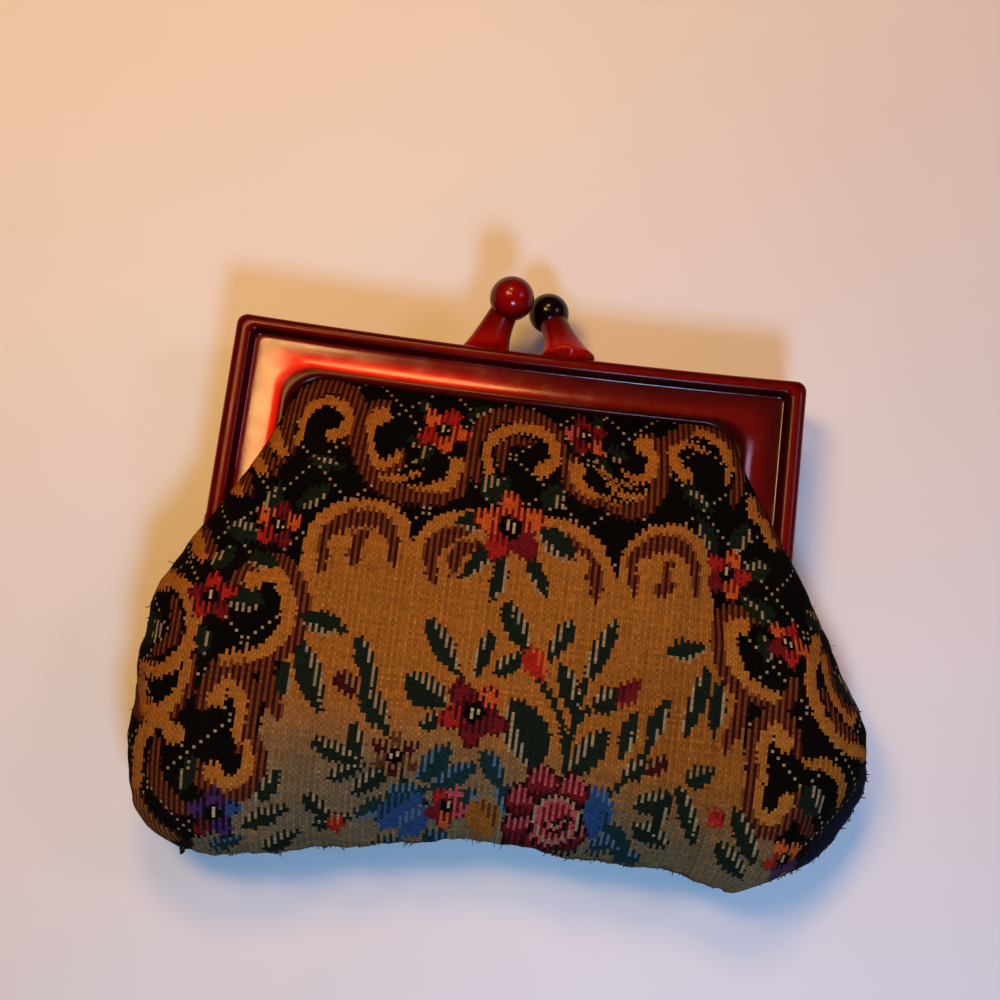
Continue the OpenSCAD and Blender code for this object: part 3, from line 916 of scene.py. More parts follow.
    def colours(self):
        """Even or odd yarn by column, each crossing a little lighter or darker."""
        chance = np.random.default_rng(7)
        woven = np.where((self.column % 2 == 0)[:, None], self.even, self.odd)
        woven = woven * chance.normal(1.0, 0.10, len(woven)).clip(0.7, 1.35)[:, None]
        streak = np.random.default_rng(8).normal(1.0, 0.05, self.column.max() + 1)
        weft = np.random.default_rng(9).normal(1.0, 0.05, self.row.max() + 1)
        return woven * (streak[self.column] * weft[self.row])[:, None]


# %% [markdown]
# The ground of the border is nearly black, with a net of fine pale dots on it. The middle
# field is gold above and greyer below, and its top edge is a row of scalloped scrolls.

# %% Ground, net and field
def ground_and_net(chart):
    """Dark ground, and two sets of slanting lines, one dot to each pair of threads: where
    the sum or the difference of the pair's numbers comes round."""
    pair, pick = chart.column // 2, chart.row // 2
    dotted = (chart.column % 2 == 0) & (chart.row % 2 == 0)
    for line in ((pair + pick + 4) % 13, (pair - pick + 7) % 13):
        chart.paint((line == 0) & dotted, "straw", "straw", 0.8)


# The field's left and right edge at each height, and its top edge at each place across.
FIELD_LEFT = np.array([
    (-99, -52), (-86, -48), (-80, -43), (-76, -40.5), (-72, -39.5), (-67, -39), (-60, -37),
    (-52, -35), (-42, -34.5), (-36, -33)]).T
FIELD_RIGHT = np.array([
    (-99, 56), (-88, 52), (-82, 46), (-78, 40), (-70, 38.5), (-62, 38), (-55, 34.5), (-46, 32.5),
    (-42, 32), (-36, 31)]).T
FIELD_TOP = np.array([
    (-36, -42), (-33, -36), (-30, -33.4), (-25, -32.6), (-21, -34), (-18.6, -40), (-16, -35),
    (-12, -33.2), (-8, -34), (-2, -34), (4, -33), (9, -34), (13, -37), (15.6, -41), (18, -35.5),
    (22, -32.8), (27, -32.4), (30.5, -35), (33, -42)]).T


def field(chart):
    """The middle field: inside a closed curve that swells downwards. Its yarn is gold at
    the top and greyer lower down, with a pale fleck at one crossing in six of every
    second row."""
    x, y = chart.at.T
    inside = ((x > np.interp(y, *FIELD_LEFT)) & (x < np.interp(y, *FIELD_RIGHT))
              & (y < np.interp(x, *FIELD_TOP)))
    chart.paint(inside, "gold", "amber", 0.35)
    # The yarn turns greyer lower down, from a little higher on the left than on the right.
    greyer_below = smooth((-y - 60.0 - 0.17 * (x + 30.0).clip(0.0)) / 16.0)[:, None]
    fleck = np.random.default_rng(5).random(len(x)) < 0.16
    pale = inside & (chart.row % 2 == 0) & fleck
    for yarn, low, high in ((chart.even, "gold", "grey"), (chart.odd, "copper", "ecru")):
        yarn[inside] = (YARN[low] * (1 - greyer_below) + YARN[high] * greyer_below)[inside]
    fleck_yarn = YARN["gold"] * 1.12 * (1 - greyer_below) + YARN["ecru"] * 1.15 * greyer_below
    chart.even[pale] = chart.odd[pale] = fleck_yarn[pale]
    # Painted shade: the lower right of the field, where the belly curves away from the light, is darker
    # than the rest.
    lower_right_shade = smooth((x - 2.0) / 24.0) * smooth((-y - 44.0) / 14.0) * (1.0 - smooth((-y - 80.0) / 10.0))
    chart.even[inside] *= 1.0 - 0.20 * lower_right_shade[inside, None]
    chart.odd[inside] *= 1.0 - 0.20 * lower_right_shade[inside, None]


# %% [markdown]
# Scrolls along the top and down both sides. A C-scroll is a curl that opens into a sweep.

# %% Scrolls
def scrolls(chart):
    """The frame of scrolls: the row under the bar, the scalloped arcs, and both sides."""
    # Row under the bar, from left to right.
    chart.stripes([(-41, -26), (-40.2, -18), (-37.5, -12.6), (-33.5, -10.6), (-30, -13), (-29.2, -18),
                   (-30, -22.5)], 3.4)
    chart.scroll([(-32.6, -21.2), (-30.6, -19.4), (-31, -15.5), (-34.2, -14), (-37.4, -16.4),
                  (-38.4, -21), (-40.5, -25.4)], 2.0, 0.0, ball=1.3)
    chart.scroll([(-25.1, -15.6), (-26.9, -18.6), (-26.8, -22.6), (-24.6, -25), (-22.2, -23.6),
                  (-21.6, -22)], 2.2, 1.8, -1, 1.6)
    chart.stripes([(-28.2, -19), (-27.4, -25), (-23.6, -28.9), (-18, -30.3), (-13, -29.2),
                   (-10.4, -25.4), (-10.4, -22.8)], 3.4)
    chart.scroll([(-11.9, -24), (-12.6, -27), (-15.6, -28.6), (-20, -28.7)], 2.0, 0.0, ball=1.4, tail=0.2)
    chart.stripes([(-24.6, -27.4), (-21, -26.9), (-17, -25.6)], 1.3, "gold", "gold")
    chart.stripes([(-8.4, -26.4), (-9.3, -20.6), (-7.4, -15.2), (-3, -12.6), (1.8, -13), (5, -16.2),
                   (5.8, -21)], 3.0)
    chart.scroll([(2.6, -23.3), (4.7, -21), (4, -17), (0, -14.9), (-4.4, -16.4), (-6.9, -20.4),
                  (-6.4, -25.8)], 2.0, 0.0, ball=1.6, tail=0.8)
    chart.stripes([(-4.4, -23.6), (-4.6, -20), (-2.2, -17.6), (1.4, -17.4)], 1.9)
    chart.scroll([(8.2, -22.4), (8.6, -25), (11.6, -27), (16, -27.9)], 2.0, 1.6, -1, 1.5)
    chart.stripes([(12, -28), (17, -29.3), (21.2, -27), (23.2, -22), (23.8, -17), (22.4, -14)], 3.2)
    chart.scroll([(20.8, -15.6), (22, -18), (21.4, -21.4), (18.6, -22.4), (16.4, -21)], 2.2, 0.0,
                 ball=1.7)
    chart.stripes([(13.6, -24.2), (17, -26), (20.4, -25.6)], 1.4, "gold", "gold")
    chart.stripes([(11.8, -21.8), (14.6, -23.2), (18.6, -24)], 1.2, "gold", "amber")
    chart.stripes([(24, -20.4), (25, -15.6), (28.4, -12.4), (33, -10.6), (37.2, -13), (38.6, -19),
                   (36.4, -25.6)], 3.2)
    chart.scroll([(27.6, -21.8), (25.8, -19.4), (26.2, -16.4), (29, -14.8), (32, -16)], 2.0, 0.0,
                 ball=1.4)
    chart.scroll([(31.6, -11.8), (34.6, -13.4), (36.4, -17.6), (35.4, -22)], 2.0, 0.0, ball=1.2)
    for x, y in ((-42.0, -22), (-44.6, -25.6), (-48, -29.4), (41.0, -26), (43.6, -29.8), (-52.5, -40.6)):
        chart.stripes([(x - 1.0, y + 2.6), (x, y), (x + 1.2, y - 2.6)], 3.2, "gold", "gold", 0.2)
        chart.stripes([(x + 0.6, y + 2.6), (x + 1.6, y), (x + 2.8, y - 2.6)], 1.8)
    # Scalloped arcs over the field.
    for points in ([(-35, -47), (-34.4, -38.5), (-31, -34), (-25, -32.3), (-20.6, -34), (-18.8, -39.6)],
                   [(-17.4, -41), (-16.6, -37), (-13.4, -33.8), (-8.8, -32.6), (-4, -33.4)],
                   [(1, -32.8), (6, -32.6), (10.4, -34.4), (13.4, -38), (14.6, -42)],
                   [(16.4, -41), (17.6, -36), (21, -32.8), (26, -31.8), (30, -34.2), (31.6, -39.6),
                    (32.2, -47)]):
        chart.stripes(points, 1.9, "gold", "gold", 0.8)
    for points in ([(-32.4, -44), (-31.8, -38.6), (-28.6, -35.4), (-24.4, -34.6), (-21.6, -37),
                    (-21.2, -41.6)],
                   [(-27.4, -42.6), (-27.4, -39), (-25.2, -37)],
                   [(-14.6, -44.2), (-15.2, -39.6), (-12.6, -36.4), (-8.6, -35)],
                   [(-11.6, -42.4), (-10.6, -39.2), (-7.4, -37.2)],
                   [(3.4, -34.8), (8, -36.4), (11.4, -39.8), (12.2, -45)],
                   [(18.6, -43.2), (18.4, -38.4), (20.8, -35.2), (25, -34.2), (28.6, -37), (29.4, -42.6)],
                   [(22.4, -43), (24.6, -40.4), (24.4, -36.8)]):
        chart.stripes(points, 3.0, "russet", "maroon", 0.25)
    for x, y, r in ((-29.6, -39.4, 1.9), (-24, -39.4, 2.0), (-8.4, -40.4, 1.6), (9, -39.2, 2.0),
                    (20.6, -38.8, 1.9), (26.4, -39.4, 1.8)):
        chart.paint(np.hypot(*(chart.at - [x, y]).T) < r, "gold", "gold", 1.0)
    # Left side, then right side.
    chart.scroll([(-42.6, -46.4), (-39.6, -44.9), (-36.9, -48.4), (-36.9, -53.4), (-40.4, -57.4),
                  (-45.4, -58.6)], 2.4, 2.2, 1, 1.6, 0.7)
    chart.stripes([(-39, -58.6), (-38.4, -63), (-36.4, -66.8)], 2.6)
    chart.scroll([(-56.6, -46.8), (-52.8, -48.2), (-50.7, -53), (-51.6, -58), (-55.2, -61.2),
                  (-58.4, -60.4)], 2.5, 0.0, 1, 1.8, 0.7)
    chart.stripes([(-54.4, -50), (-53.6, -55.4), (-56.8, -59.2)], 2.0)
    chart.scroll([(-58.6, -63.2), (-58, -66.4), (-54.4, -67), (-51.6, -63.6), (-50.8, -59.4)], 2.0, 1.4,
                 -1, 1.5, 0.6)
    chart.scroll([(-46, -64.6), (-44.6, -62.6), (-42.3, -65), (-42.6, -70.6)], 2.1, 2.2, 1, 1.5, 0.7)
    chart.scroll([(-45.6, -75.8), (-43, -77.6), (-40.6, -75), (-40.9, -71.4)], 2.1, 2.4, -1, 1.5, 0.7)
    chart.scroll([(-51.8, -70.4), (-54.4, -68.6), (-57.2, -71.8), (-57.4, -79)], 2.2, 0.0, 1, 1.6, 0.8)
    chart.stripes([(-54.6, -71.6), (-54.4, -77), (-51.4, -80.6), (-48.6, -82)], 2.6)
    chart.stripes([(-57.6, -80), (-55.4, -84), (-51, -86.6)], 3.0, "brown", "amber")
    chart.scroll([(37.9, -46.7), (35.9, -47), (35.5, -51.4), (38.2, -56), (43.4, -58.2)], 2.4, 2.2, -1,
                 1.4, 0.7)
    chart.stripes([(46.6, -54.6), (45.8, -58), (43, -60)], 2.4)
    chart.stripes([(37.4, -58.6), (36.8, -63), (34.8, -67)], 2.6)
    chart.scroll([(52.6, -47.8), (49.9, -53.6), (51.2, -60), (56, -64.6), (62, -66.2)], 2.5, 0.0, 1, 1.4,
                 0.9)
    chart.stripes([(52.2, -56), (55.4, -62), (60.4, -64)], 1.9)
    chart.scroll([(53.6, -51), (54.8, -56.6), (58, -60.8), (60, -60)], 1.9, 1.4, 1, 1.2, 0.6)
    chart.scroll([(45.2, -65.4), (43.4, -63.2), (41.3, -66), (41.6, -71.4)], 2.1, 2.2, -1, 1.5, 0.7)
    chart.scroll([(45.9, -74.8), (43.8, -77.6), (41.2, -76.4), (40.9, -72)], 2.1, 2.2, 1, 1.5, 0.7)
    chart.stripes([(48.4, -68.2), (52.6, -68.4), (56.4, -71), (57, -75)], 2.2, "gold", "amber")
    chart.stripes([(48.4, -74), (50, -78), (52.4, -80)], 2.6, "brown", "maroon")


# %% [markdown]
# Leaves have one solid half and one striped half, which shades them. The list gives each
# leaf's base, tip and width.

# %% Leaves, flowers and buds
FIELD_LEAVES = (
    (-34.6, -51.4, -27, -53, -3.2), (-34.4, -55.2, -30.3, -66.2, 3.6), (-36.2, -58, -36.4, -64.6, 1.8),
    (-25.6, -53.6, -22.2, -63, 2.8), (-24.4, -61, -19.8, -68.6, 3.4), (-31.4, -70.4, -23.6, -73.4, 2.8),
    (-25.4, -67.2, -23.6, -72.6, 2.4), (-28.4, -76.2, -22.6, -73.6, 2.2),
    (-24.8, -78.6, -18.8, -74.8, 3.2),
    (-14.9, -49.8, -9.4, -58.8, 3.2), (-4.4, -51.2, -6.9, -59.4, -2.4), (-17.6, -59.4, -10.6, -64.2, 4.6),
    (-14.8, -67.4, -10.6, -65.6, 2.6), (-2.8, -46.2, 1.7, -54.4, 3.4), (8.9, -48.2, 4.6, -55.8, -2.6),
    (15.8, -47.8, 11, -58.8, -2.8), (-3.8, -58.2, 1, -54.6, 2.8), (7.4, -55.4, 9.6, -63.4, 2.8),
    (0.2, -61.8, 4.6, -74.6, -6.6), (15.4, -65.4, 9.4, -74.2, -4.0), (19.8, -62.6, 17.6, -70.4, 2.6),
    (24.9, -59.8, 22, -68.4, 2.6), (31.6, -54, 28, -66.4, -2.8), (33.6, -56.4, 33, -65.6, 2.6),
    (24.4, -52.5, 31.2, -51, -3.0), (12.6, -61.8, 17.6, -59.8, 3.8), (20.4, -77.4, 27, -76.2, 3.6),
    (20.8, -80.8, 28, -84.6, 3.2), (26.2, -74.6, 24.6, -82.4, 2.4), (27.4, -73.4, 32.2, -84.4, 2.8),
    (37, -76.4, 42.4, -85.6, 3.0), (35, -82.4, 41.6, -88.2, 3.0), (-4.2, -36.8, -10.6, -43.6, 2.6),
    (-3.2, -38.8, -4.9, -47.2, 2.4), (0.6, -38.8, 4, -45.4, -2.6), (-38.8, -80.6, -35.8, -74.6, 2.4),
    (-41, -84.6, -33.8, -81, 2.6), (-30.6, -84.6, -24, -82.6, 2.6), (-31.8, -79, -27.6, -83.4, 2.6),
    (18.4, -73.4, 22.8, -69.6, 2.8), (-38, -88, -32, -85.4, 2.4))
TEAL_LEAVES = (
    (-14.4, -76.4, -9.6, -70.4, 4.0), (-12.6, -78, -4.8, -73.4, 3.0), (-4.4, -70.8, -1.2, -77.4, 3.0),
    (-7.0, -77.6, -3.4, -84.2, 3.2), (-1.4, -76.4, 1.6, -82.4, -2.8),
    (-12.4, -84.8, -6.6, -86.6, 2.6), (-24.2, -82.4, -17.6, -80.4, -2.4), (18.6, -85.6, 24.4, -87.4, 2.6),
    (14.8, -86.4, 20.6, -84.4, 2.4), (-21.4, -87.6, -14.6, -86.6, 2.2), (6.6, -73.2, 3.0, -76.6, 2.2),
    (-19.6, -79.6, -12.8, -77.4, 3.2), (-46, -88.4, -40.6, -86, 2.6), (21.6, -86, 15.4, -81, 3.0))
BORDER_LEAVES = (
    (-17, -15.6, -18.6, -11.2, -2.0), (-10.6, -14.4, -6, -10.8, -1.8), (-16.6, -20, -20.4, -18.4, 2.2),
    (-16, -20.4, -19, -24.4, -1.8), (12, -13, 13.8, -10.6, -1.8), (14, -16.8, 17.8, -18.4, -2.2),
    (12.2, -18.8, 14.4, -22.6, -2.0), (-7.6, -29.4, -2.4, -25.4, 4.2), (3, -30.6, 5.8, -25.6, -3.2),
    (-5.4, -33.6, -11.6, -33.8, 3.0), (2.6, -34, 8.6, -38.4, -4.0), (-36.4, -25.4, -29.6, -27, 2.0),
    (-37.4, -34, -31.8, -29.8, -2.6), (-42, -35, -40.8, -29.4, 2.4), (-43, -38.4, -49, -37.6, -3.2),
    (-44.6, -42, -39.4, -43.6, -2.6), (-46.4, -49, -40.2, -49.6, -3.2), (-49, -45, -47.4, -40.4, 2.8),
    (-49.4, -54, -48.6, -58.6, 2.4), (36.2, -34, 39.6, -28.4, -3.0), (33.4, -34.4, 29.4, -28.8, 3.0),
    (26.4, -24.4, 33, -27.6, 2.6), (38.4, -37.4, 43.8, -36, 3.2), (38, -41.6, 42.6, -46.4, 2.6),
    (43.8, -46, 41, -41.8, 2.2), (42, -52.4, 40.8, -47.6, -2.4), (50.6, -42.6, 55.4, -46, 3.2),
    (57.4, -52.4, 60.4, -58.6, 3.0), (-57.6, -52, -58, -57.6, 3.6), (-48.6, -73.6, -50.2, -79, -2.2),
    (49, -72, 52.6, -77, 4.2))
FLOWERS = (
    (-14.4, -17.2, 4.8, ("red", "orange", "red", "orange", "orange"), 60, "wine"),
    (10.2, -15.6, 4.4, ("wine", "pink", "wine", "orange", "wine"), 100, "maroon"),
    (-2.4, -34.2, 6.4, ("orange", "orange", "red", "wine", "orange"), 95, "wine"),
    (-40.2, -36.8, 4.4, ("wine", "orange", "red", "wine", "orange"), 80, "maroon"),
    (35.4, -38.2, 4.6, ("orange", "red", "wine", "orange", "red"), 70, "wine"),
    (-48.4, -49.4, 4.0, ("red", "wine", "red", "wine", "red"), 90, "maroon"),
    (45.8, -49.0, 4.2, ("red", "orange", "wine", "red", "orange"), 60, "wine"),
    (-18.4, -72.4, 4.2, ("brown", "maroon", "brown", "maroon", "brown", "maroon"), 90, "ecru"),
    (-6.4, -65.0, 6.1, ("orange", "wine", "red", "wine", "wine"), 52, "maroon"),
    (-45.2, -82.4, 4.2, ("violet", "violet", "wine", "violet", "blue"), 90, "night"),
    (47.6, -84.4, 4.0, ("orange", "red", "violet", "violet", "orange"), 120, "brown"),
    (-9.4, -80.6, 3.6, ("pink", "red", "wine", "orange", "pink"), 60, "wine"))


def blooms(chart):
    """Stems, leaves, flowers, buds and the rose at the foot of the field."""
    for points in ([(3.4, -58), (7.4, -64), (8.6, -71)], [(12.4, -62), (9.6, -66), (8.8, -73)],
                   [(11, -58), (10, -64), (9, -70)],
                   [(-10, -58), (-8.4, -60)], [(22.6, -67), (19, -73), (15, -77)],
                   [(-20, -68), (-17, -76), (-13, -80)]):
        chart.stripes(points, 1.1, "green", "green", 0.9)
    for leaf in BORDER_LEAVES + FIELD_LEAVES:
        chart.leaf(*leaf)
    for leaf in TEAL_LEAVES:
        chart.leaf(*leaf, dark="pine", pale="sky")
    for x0, y0, x1, y1, width, even, odd in (
            (-28.6, -59.6, -24.6, -63, 2.8, "maroon", "ecru"),
            (1.4, -53.4, 4.4, -58.6, 3.6, "red", "orange"),
            (16.6, -61.2, 20.4, -57.4, 3.2, "wine", "maroon"),
            (-20, -84.6, -13.4, -78.4, 4.6, "blue", "pine"),
            (-16.4, -85.4, -11.6, -80.6, 3.6, "blue", "sky"),
            (14.6, -76.6, 15.4, -84.8, 4.4, "blue", "pine"),
            (12.6, -75.4, 17.6, -78.8, 2.8, "blue", "sky"),
            (21.6, -71.6, 26, -69.4, 2.6, "maroon", "ecru"),
            (28.4, -72.6, 33.6, -71, 3.4, "green", "ecru"), (33, -77.2, 35.6, -79.4, 2.6, "red", "wine"),
            (-28, -84.4, -25, -83.6, 2.4, "red", "orange"),
            (-5.6, -79.4, -1, -84.6, 4.6, "amber", "brown")):
        chart.leaf(x0, y0, x1, y1, width, 0.0, even, odd)
    for x, y, radius, petals, start, pair in FLOWERS:
        chart.flower(x, y, radius, petals, start, pair)
    # The rose: six outer petals, darker at the foot, and a cup with a pale rim.
    for dx, dy in ((-4.6, -3.0), (-0.6, -4.6), (3.6, -3.6), (-5.0, 1.0), (2.8, 3.8), (-2.2, 4.2)):
        dx, dy = (chart.at - [7.6 + dx, -80.2 + dy]).T
        petal = np.hypot(dx, dy) < 3.0
        chart.paint(petal, "pink", "wine", 0.9)
        chart.paint(petal & (dy < -0.7), "wine", "maroon", 0.9)
        chart.paint(petal & (np.hypot(dx, dy) > 2.5), "maroon", "ground", 0.7)
    away = chart.at - [8.6, -81.6]
    r, angle = np.hypot(*away.T), np.arctan2(away[:, 1], away[:, 0])
    chart.paint(r < 4.4, "maroon", "ground", 0.8)
    chart.paint((r < 3.9) & (r > 3.0), "straw", "pink", 0.9)
    chart.paint(r < 3.0, "pink", "wine", 0.9)
    chart.paint((r < 2.4) & (angle < 0.4) & (angle > -2.6), "ground", "maroon", 0.6)
    chart.paint((r < 1.6) & (r > 0.9) & (angle < 0), "straw", "pink", 0.8)


def weave(seen, column, row):
    """The whole picture, from the ground up, for crossings at the given places."""
    chart = Chart(seen, column, row)
    ground_and_net(chart)
    field(chart)
    scrolls(chart)
    blooms(chart)
    return chart


def seam_dirt_and_shade(from_side, from_bottom):
    """How light the yarn stays near the seam, darkened by dirt and by painted shade where the
    cloth turns under: a third at the seam itself, all of it three and a half millimetres in,
    with the darkening ending unevenly along the edge."""
    near = np.minimum(from_side, from_bottom)
    patchy = 1.0 + 0.25 * np.sin(1.3 * from_side + 0.9 * from_bottom)
    return (0.33 + 0.67 * smooth(near / (3.5 * patchy)))[:, None]


centres, side, low = bag_surface(flat[faces].mean(1), True)
chart = weave(centres, column, row)
print("woven crossings:", len(chart.raised), "mean float", round(float(chart.raised.mean()), 2))

# %% [markdown]
# The front panel is then laid on the bag, with the floats standing up a little from the
# ground, and given its thickness. It spans the frame's joint: in the purse, the cloth by the
# front half's bar and legs turns with that half, and the belly stays. Here the whole panel
# stays where it lies.

# %% The front panel
TAPESTRY_THICKNESS = 0.8


def lift_floats(points, faces, raised, height=0.14):
    """Moves each point along its normal by height times the mean float of the faces round it."""
    count = np.bincount(faces.ravel(), minlength=len(points))
    total = np.bincount(faces.ravel(), np.repeat(raised, 4), minlength=len(points))
    lift = height * total / np.maximum(count, 1)
    return points + surface_normals(points, faces) * lift[:, None]


def cross_the_joint(obj, points):
    """Bakes the object's place into its mesh; the points it is given are not used."""
    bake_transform(obj)


def give_thickness(obj, thickness):
    """A wall on the inner side."""
    wall = obj.modifiers.new("thickness", "SOLIDIFY")
    wall.thickness, wall.offset = thickness * MM, -1.0
    wall.use_even_offset = False


surface, _, _ = bag_surface(flat, True)
surface = lift_floats(surface + settled(flat, movement), faces, chart.raised)
front_cloth = make_piece("front_tapestry", place(surface), faces)
add_colours(front_cloth, "yarn", chart.colours() * seam_dirt_and_shade(side, low))
add_map(front_cloth, "threads", flat / [WARP_PITCH, WEFT_PITCH])
give_thickness(front_cloth, TAPESTRY_THICKNESS)
cross_the_joint(front_cloth, surface)
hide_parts("front_panel", "front_panel_fold", "front_panel_yoke")
print("front tapestry:", len(faces) * 4, "triangles with its inner side")

# %% [markdown]
# ## Tapestry finish
# The colour is the chart's. Over it, a group works out the relief of the threads from the
# flat map, whose unit is one thread: a rib along each warp, and short floats that step from
# one warp to the next like bricks. Fuzz is a fine noise. Cloth has a dull, soft sheen.

# %% Thread relief
def thread_relief():
    """Node group. Rib: the absolute sine of pi u, to the power 0.6. Float: half of one plus
    the sine of pi times the sum of v and the column's number. Height is their mean with fuzz
    on top, and Shade is a factor that darkens the furrows."""
    group, source, target = new_group("thread_relief", {"Map": "Vector", "Fuzz": "Float"},
                                      {"Height": "Float", "Shade": "Float"})
    split = node(group, "ShaderNodeSeparateXYZ", {"Vector": source.outputs["Map"]})
    u, v = split.outputs["X"], split.outputs["Y"]
    wave = maths(group, "SINE", maths(group, "MULTIPLY", u, np.pi))
    rib = maths(group, "POWER", maths(group, "ABSOLUTE", wave), 0.6)
    brick = maths(group, "MULTIPLY", maths(group, "ADD", v, maths(group, "FLOOR", u)), np.pi)
    step = maths(group, "MULTIPLY_ADD", maths(group, "SINE", brick), 0.5, 0.5)
    fuzz = noise(group, 5200.0, 3.0, 0.6)
    height = maths(group, "MULTIPLY_ADD", step, 0.50, maths(group, "MULTIPLY", rib, 0.50))
    height = maths(group, "MULTIPLY_ADD", fuzz, source.outputs["Fuzz"], height)
    group.links.new(height, target.inputs["Height"])
    group.links.new(maths(group, "MULTIPLY_ADD", height, 0.44, 0.60), target.inputs["Shade"])
    return group


relief = thread_relief()


def tapestry_finish(name):
    """Woven cloth: chart colour, shaded by the threads, worn paler in slow patches."""
    material, tree, shader = new_finish(name, (0.19, 0.12, 0.05))
    uv = node(tree, "ShaderNodeUVMap", uv_map="threads").outputs["UV"]
    threads = node(tree, "ShaderNodeGroup", {"Map": uv, "Fuzz": 0.5}, node_tree=relief)
    yarn = node(tree, "ShaderNodeAttribute", attribute_name="yarn").outputs["Color"]
    shade = threads.outputs["Shade"]
    furrows = node(tree, "ShaderNodeCombineColor", {0: shade, 1: shade, 2: shade}).outputs[0]
    shaded = mix_colour(tree, 1.0, yarn, furrows, "MULTIPLY")
    wear = maths(tree, "MULTIPLY", maths(tree, "POWER", noise(tree, 70.0, 4.0), 3.0), 0.03)
    colour = mix_colour(tree, wear, shaded, (0.20, 0.14, 0.08, 1.0))
    feed(tree, shader, Base_Color=colour, Normal=bump(tree, threads.outputs["Height"], 0.65, 0.00025),
         Roughness=maths(tree, "MULTIPLY_ADD", noise(tree, 900.0, 2.0), 0.2, 0.75),
         Specular_IOR_Level=0.02)
    return material


tapestry = tapestry_finish("tapestry_cloth")
front_cloth.data.materials.append(tapestry)

# %% [markdown]
# ## The back panel
# The same cut, turned over. It carries the purse's weight, so its belly is pressed flat on
# the table, and its lower right corner isn't folded in.

# %% The back panel
back_flat, back_faces, back_column, back_row = cut_panel(folded=False)
back_centres, side, low = bag_surface(back_flat[back_faces].mean(1), False)
back_chart = weave(back_centres * [-1, 1, 1], back_column, back_row)
back_surface, _, _ = bag_surface(back_flat, False)
back_surface = lift_floats(back_surface, back_faces, back_chart.raised)
back_surface[:, 2] = np.minimum(back_surface[:, 2] * 1.03, parting - 0.03)
back_cloth = make_piece("back_tapestry", place(back_surface * [1, 1, -1]), back_faces[:, ::-1])
add_colours(back_cloth, "yarn", back_chart.colours() * seam_dirt_and_shade(side, low))
add_map(back_cloth, "threads", back_flat / [WARP_PITCH, WEFT_PITCH])
give_thickness(back_cloth, TAPESTRY_THICKNESS)
back_cloth.data.materials.append(tapestry)
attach(back_cloth, "back_half")
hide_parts("back_panel")
print("back tapestry:", len(back_faces) * 4, "triangles with its inner side")

# %% [markdown]
# ## Dark cloth
# The lining is a thin plain weave, nearly black. The same cloth faces the corner that is
# folded in at the lower right, where a band of it shows. Its threads come from a fine wave in
# two directions, so it needs no flat map. The front lining follows the front panel's dents.

# %% Lining finish and pieces
def plain_cloth(name, colour, pale):
    """Plain weave: two crossed waves of thread, a slow change of shade, and fluff."""
    material, tree, shader = new_finish(name, colour)
    split = node(tree, "ShaderNodeSeparateXYZ", {"Vector": own_place(tree)})
    pitch = 2 * np.pi / 0.00045
    warp = maths(tree, "SINE", maths(tree, "MULTIPLY", split.outputs["X"], pitch))
    weft = maths(tree, "SINE", maths(tree, "MULTIPLY", split.outputs["Y"], pitch))
    weave_height = maths(tree, "MULTIPLY_ADD", maths(tree, "MULTIPLY", warp, weft), 0.5, 0.5)
    fluff = noise(tree, 2600.0, 4.0, 0.7)
    height = maths(tree, "MULTIPLY_ADD", fluff, 0.8, weave_height)
    drift = maths(tree, "MULTIPLY_ADD", noise(tree, 300.0, 4.0), 0.8, -0.1)
    tone = maths(tree, "MULTIPLY", drift, weave_height)
    feed(tree, shader, Base_Color=ramp(tree, tone, [(0.1, colour), (0.6, pale)]),
         Normal=bump(tree, height, 0.5, 0.0002), Roughness=maths(tree, "MULTIPLY_ADD", fluff, 0.2, 0.72),
         Sheen_Weight=0.03, Specular_IOR_Level=0.08)
    return material


lining_finish = plain_cloth("lining_dark", (0.006, 0.005, 0.010), (0.018, 0.015, 0.026))


LINING_GAP, LINING_THICKNESS, LINING_PITCH = 1.1, 0.3, 1.6
LEAST_COSINE, LEG_FROM, LEG_EASE = 0.35, 33.0, 6.0
NOTCH_FROM, NOTCH_REACH = 44.0, 7.0


def under_at_reach(outer, inner):
    """The tapestry points that lie as far from the hinge line as the lining points do. Each
    is found by going down the cloth by the difference in reach, over the cosine between the
    cloth's slope and the line from the hinge. Behind the legs the cloth stays put."""
    up, height = outer[:, 1] + LEG_LENGTH, outer[:, 2]
    reach = np.hypot(up, height)
    nearer = reach - np.hypot(inner[:, 1] + LEG_LENGTH, inner[:, 2])
    normal = (outer - inner) / np.linalg.norm(outer - inner, axis=1, keepdims=True)
    cosine = (normal[:, 2] * up - normal[:, 1] * height) / reach
    down = nearer / np.maximum(cosine, LEAST_COSINE) * normal[:, 2]
    down *= 1.0 - smooth((np.abs(outer[:, 0]) - LEG_FROM) / LEG_EASE)
    return outer - down[:, None] * [0.0, 1.0, 0.0]


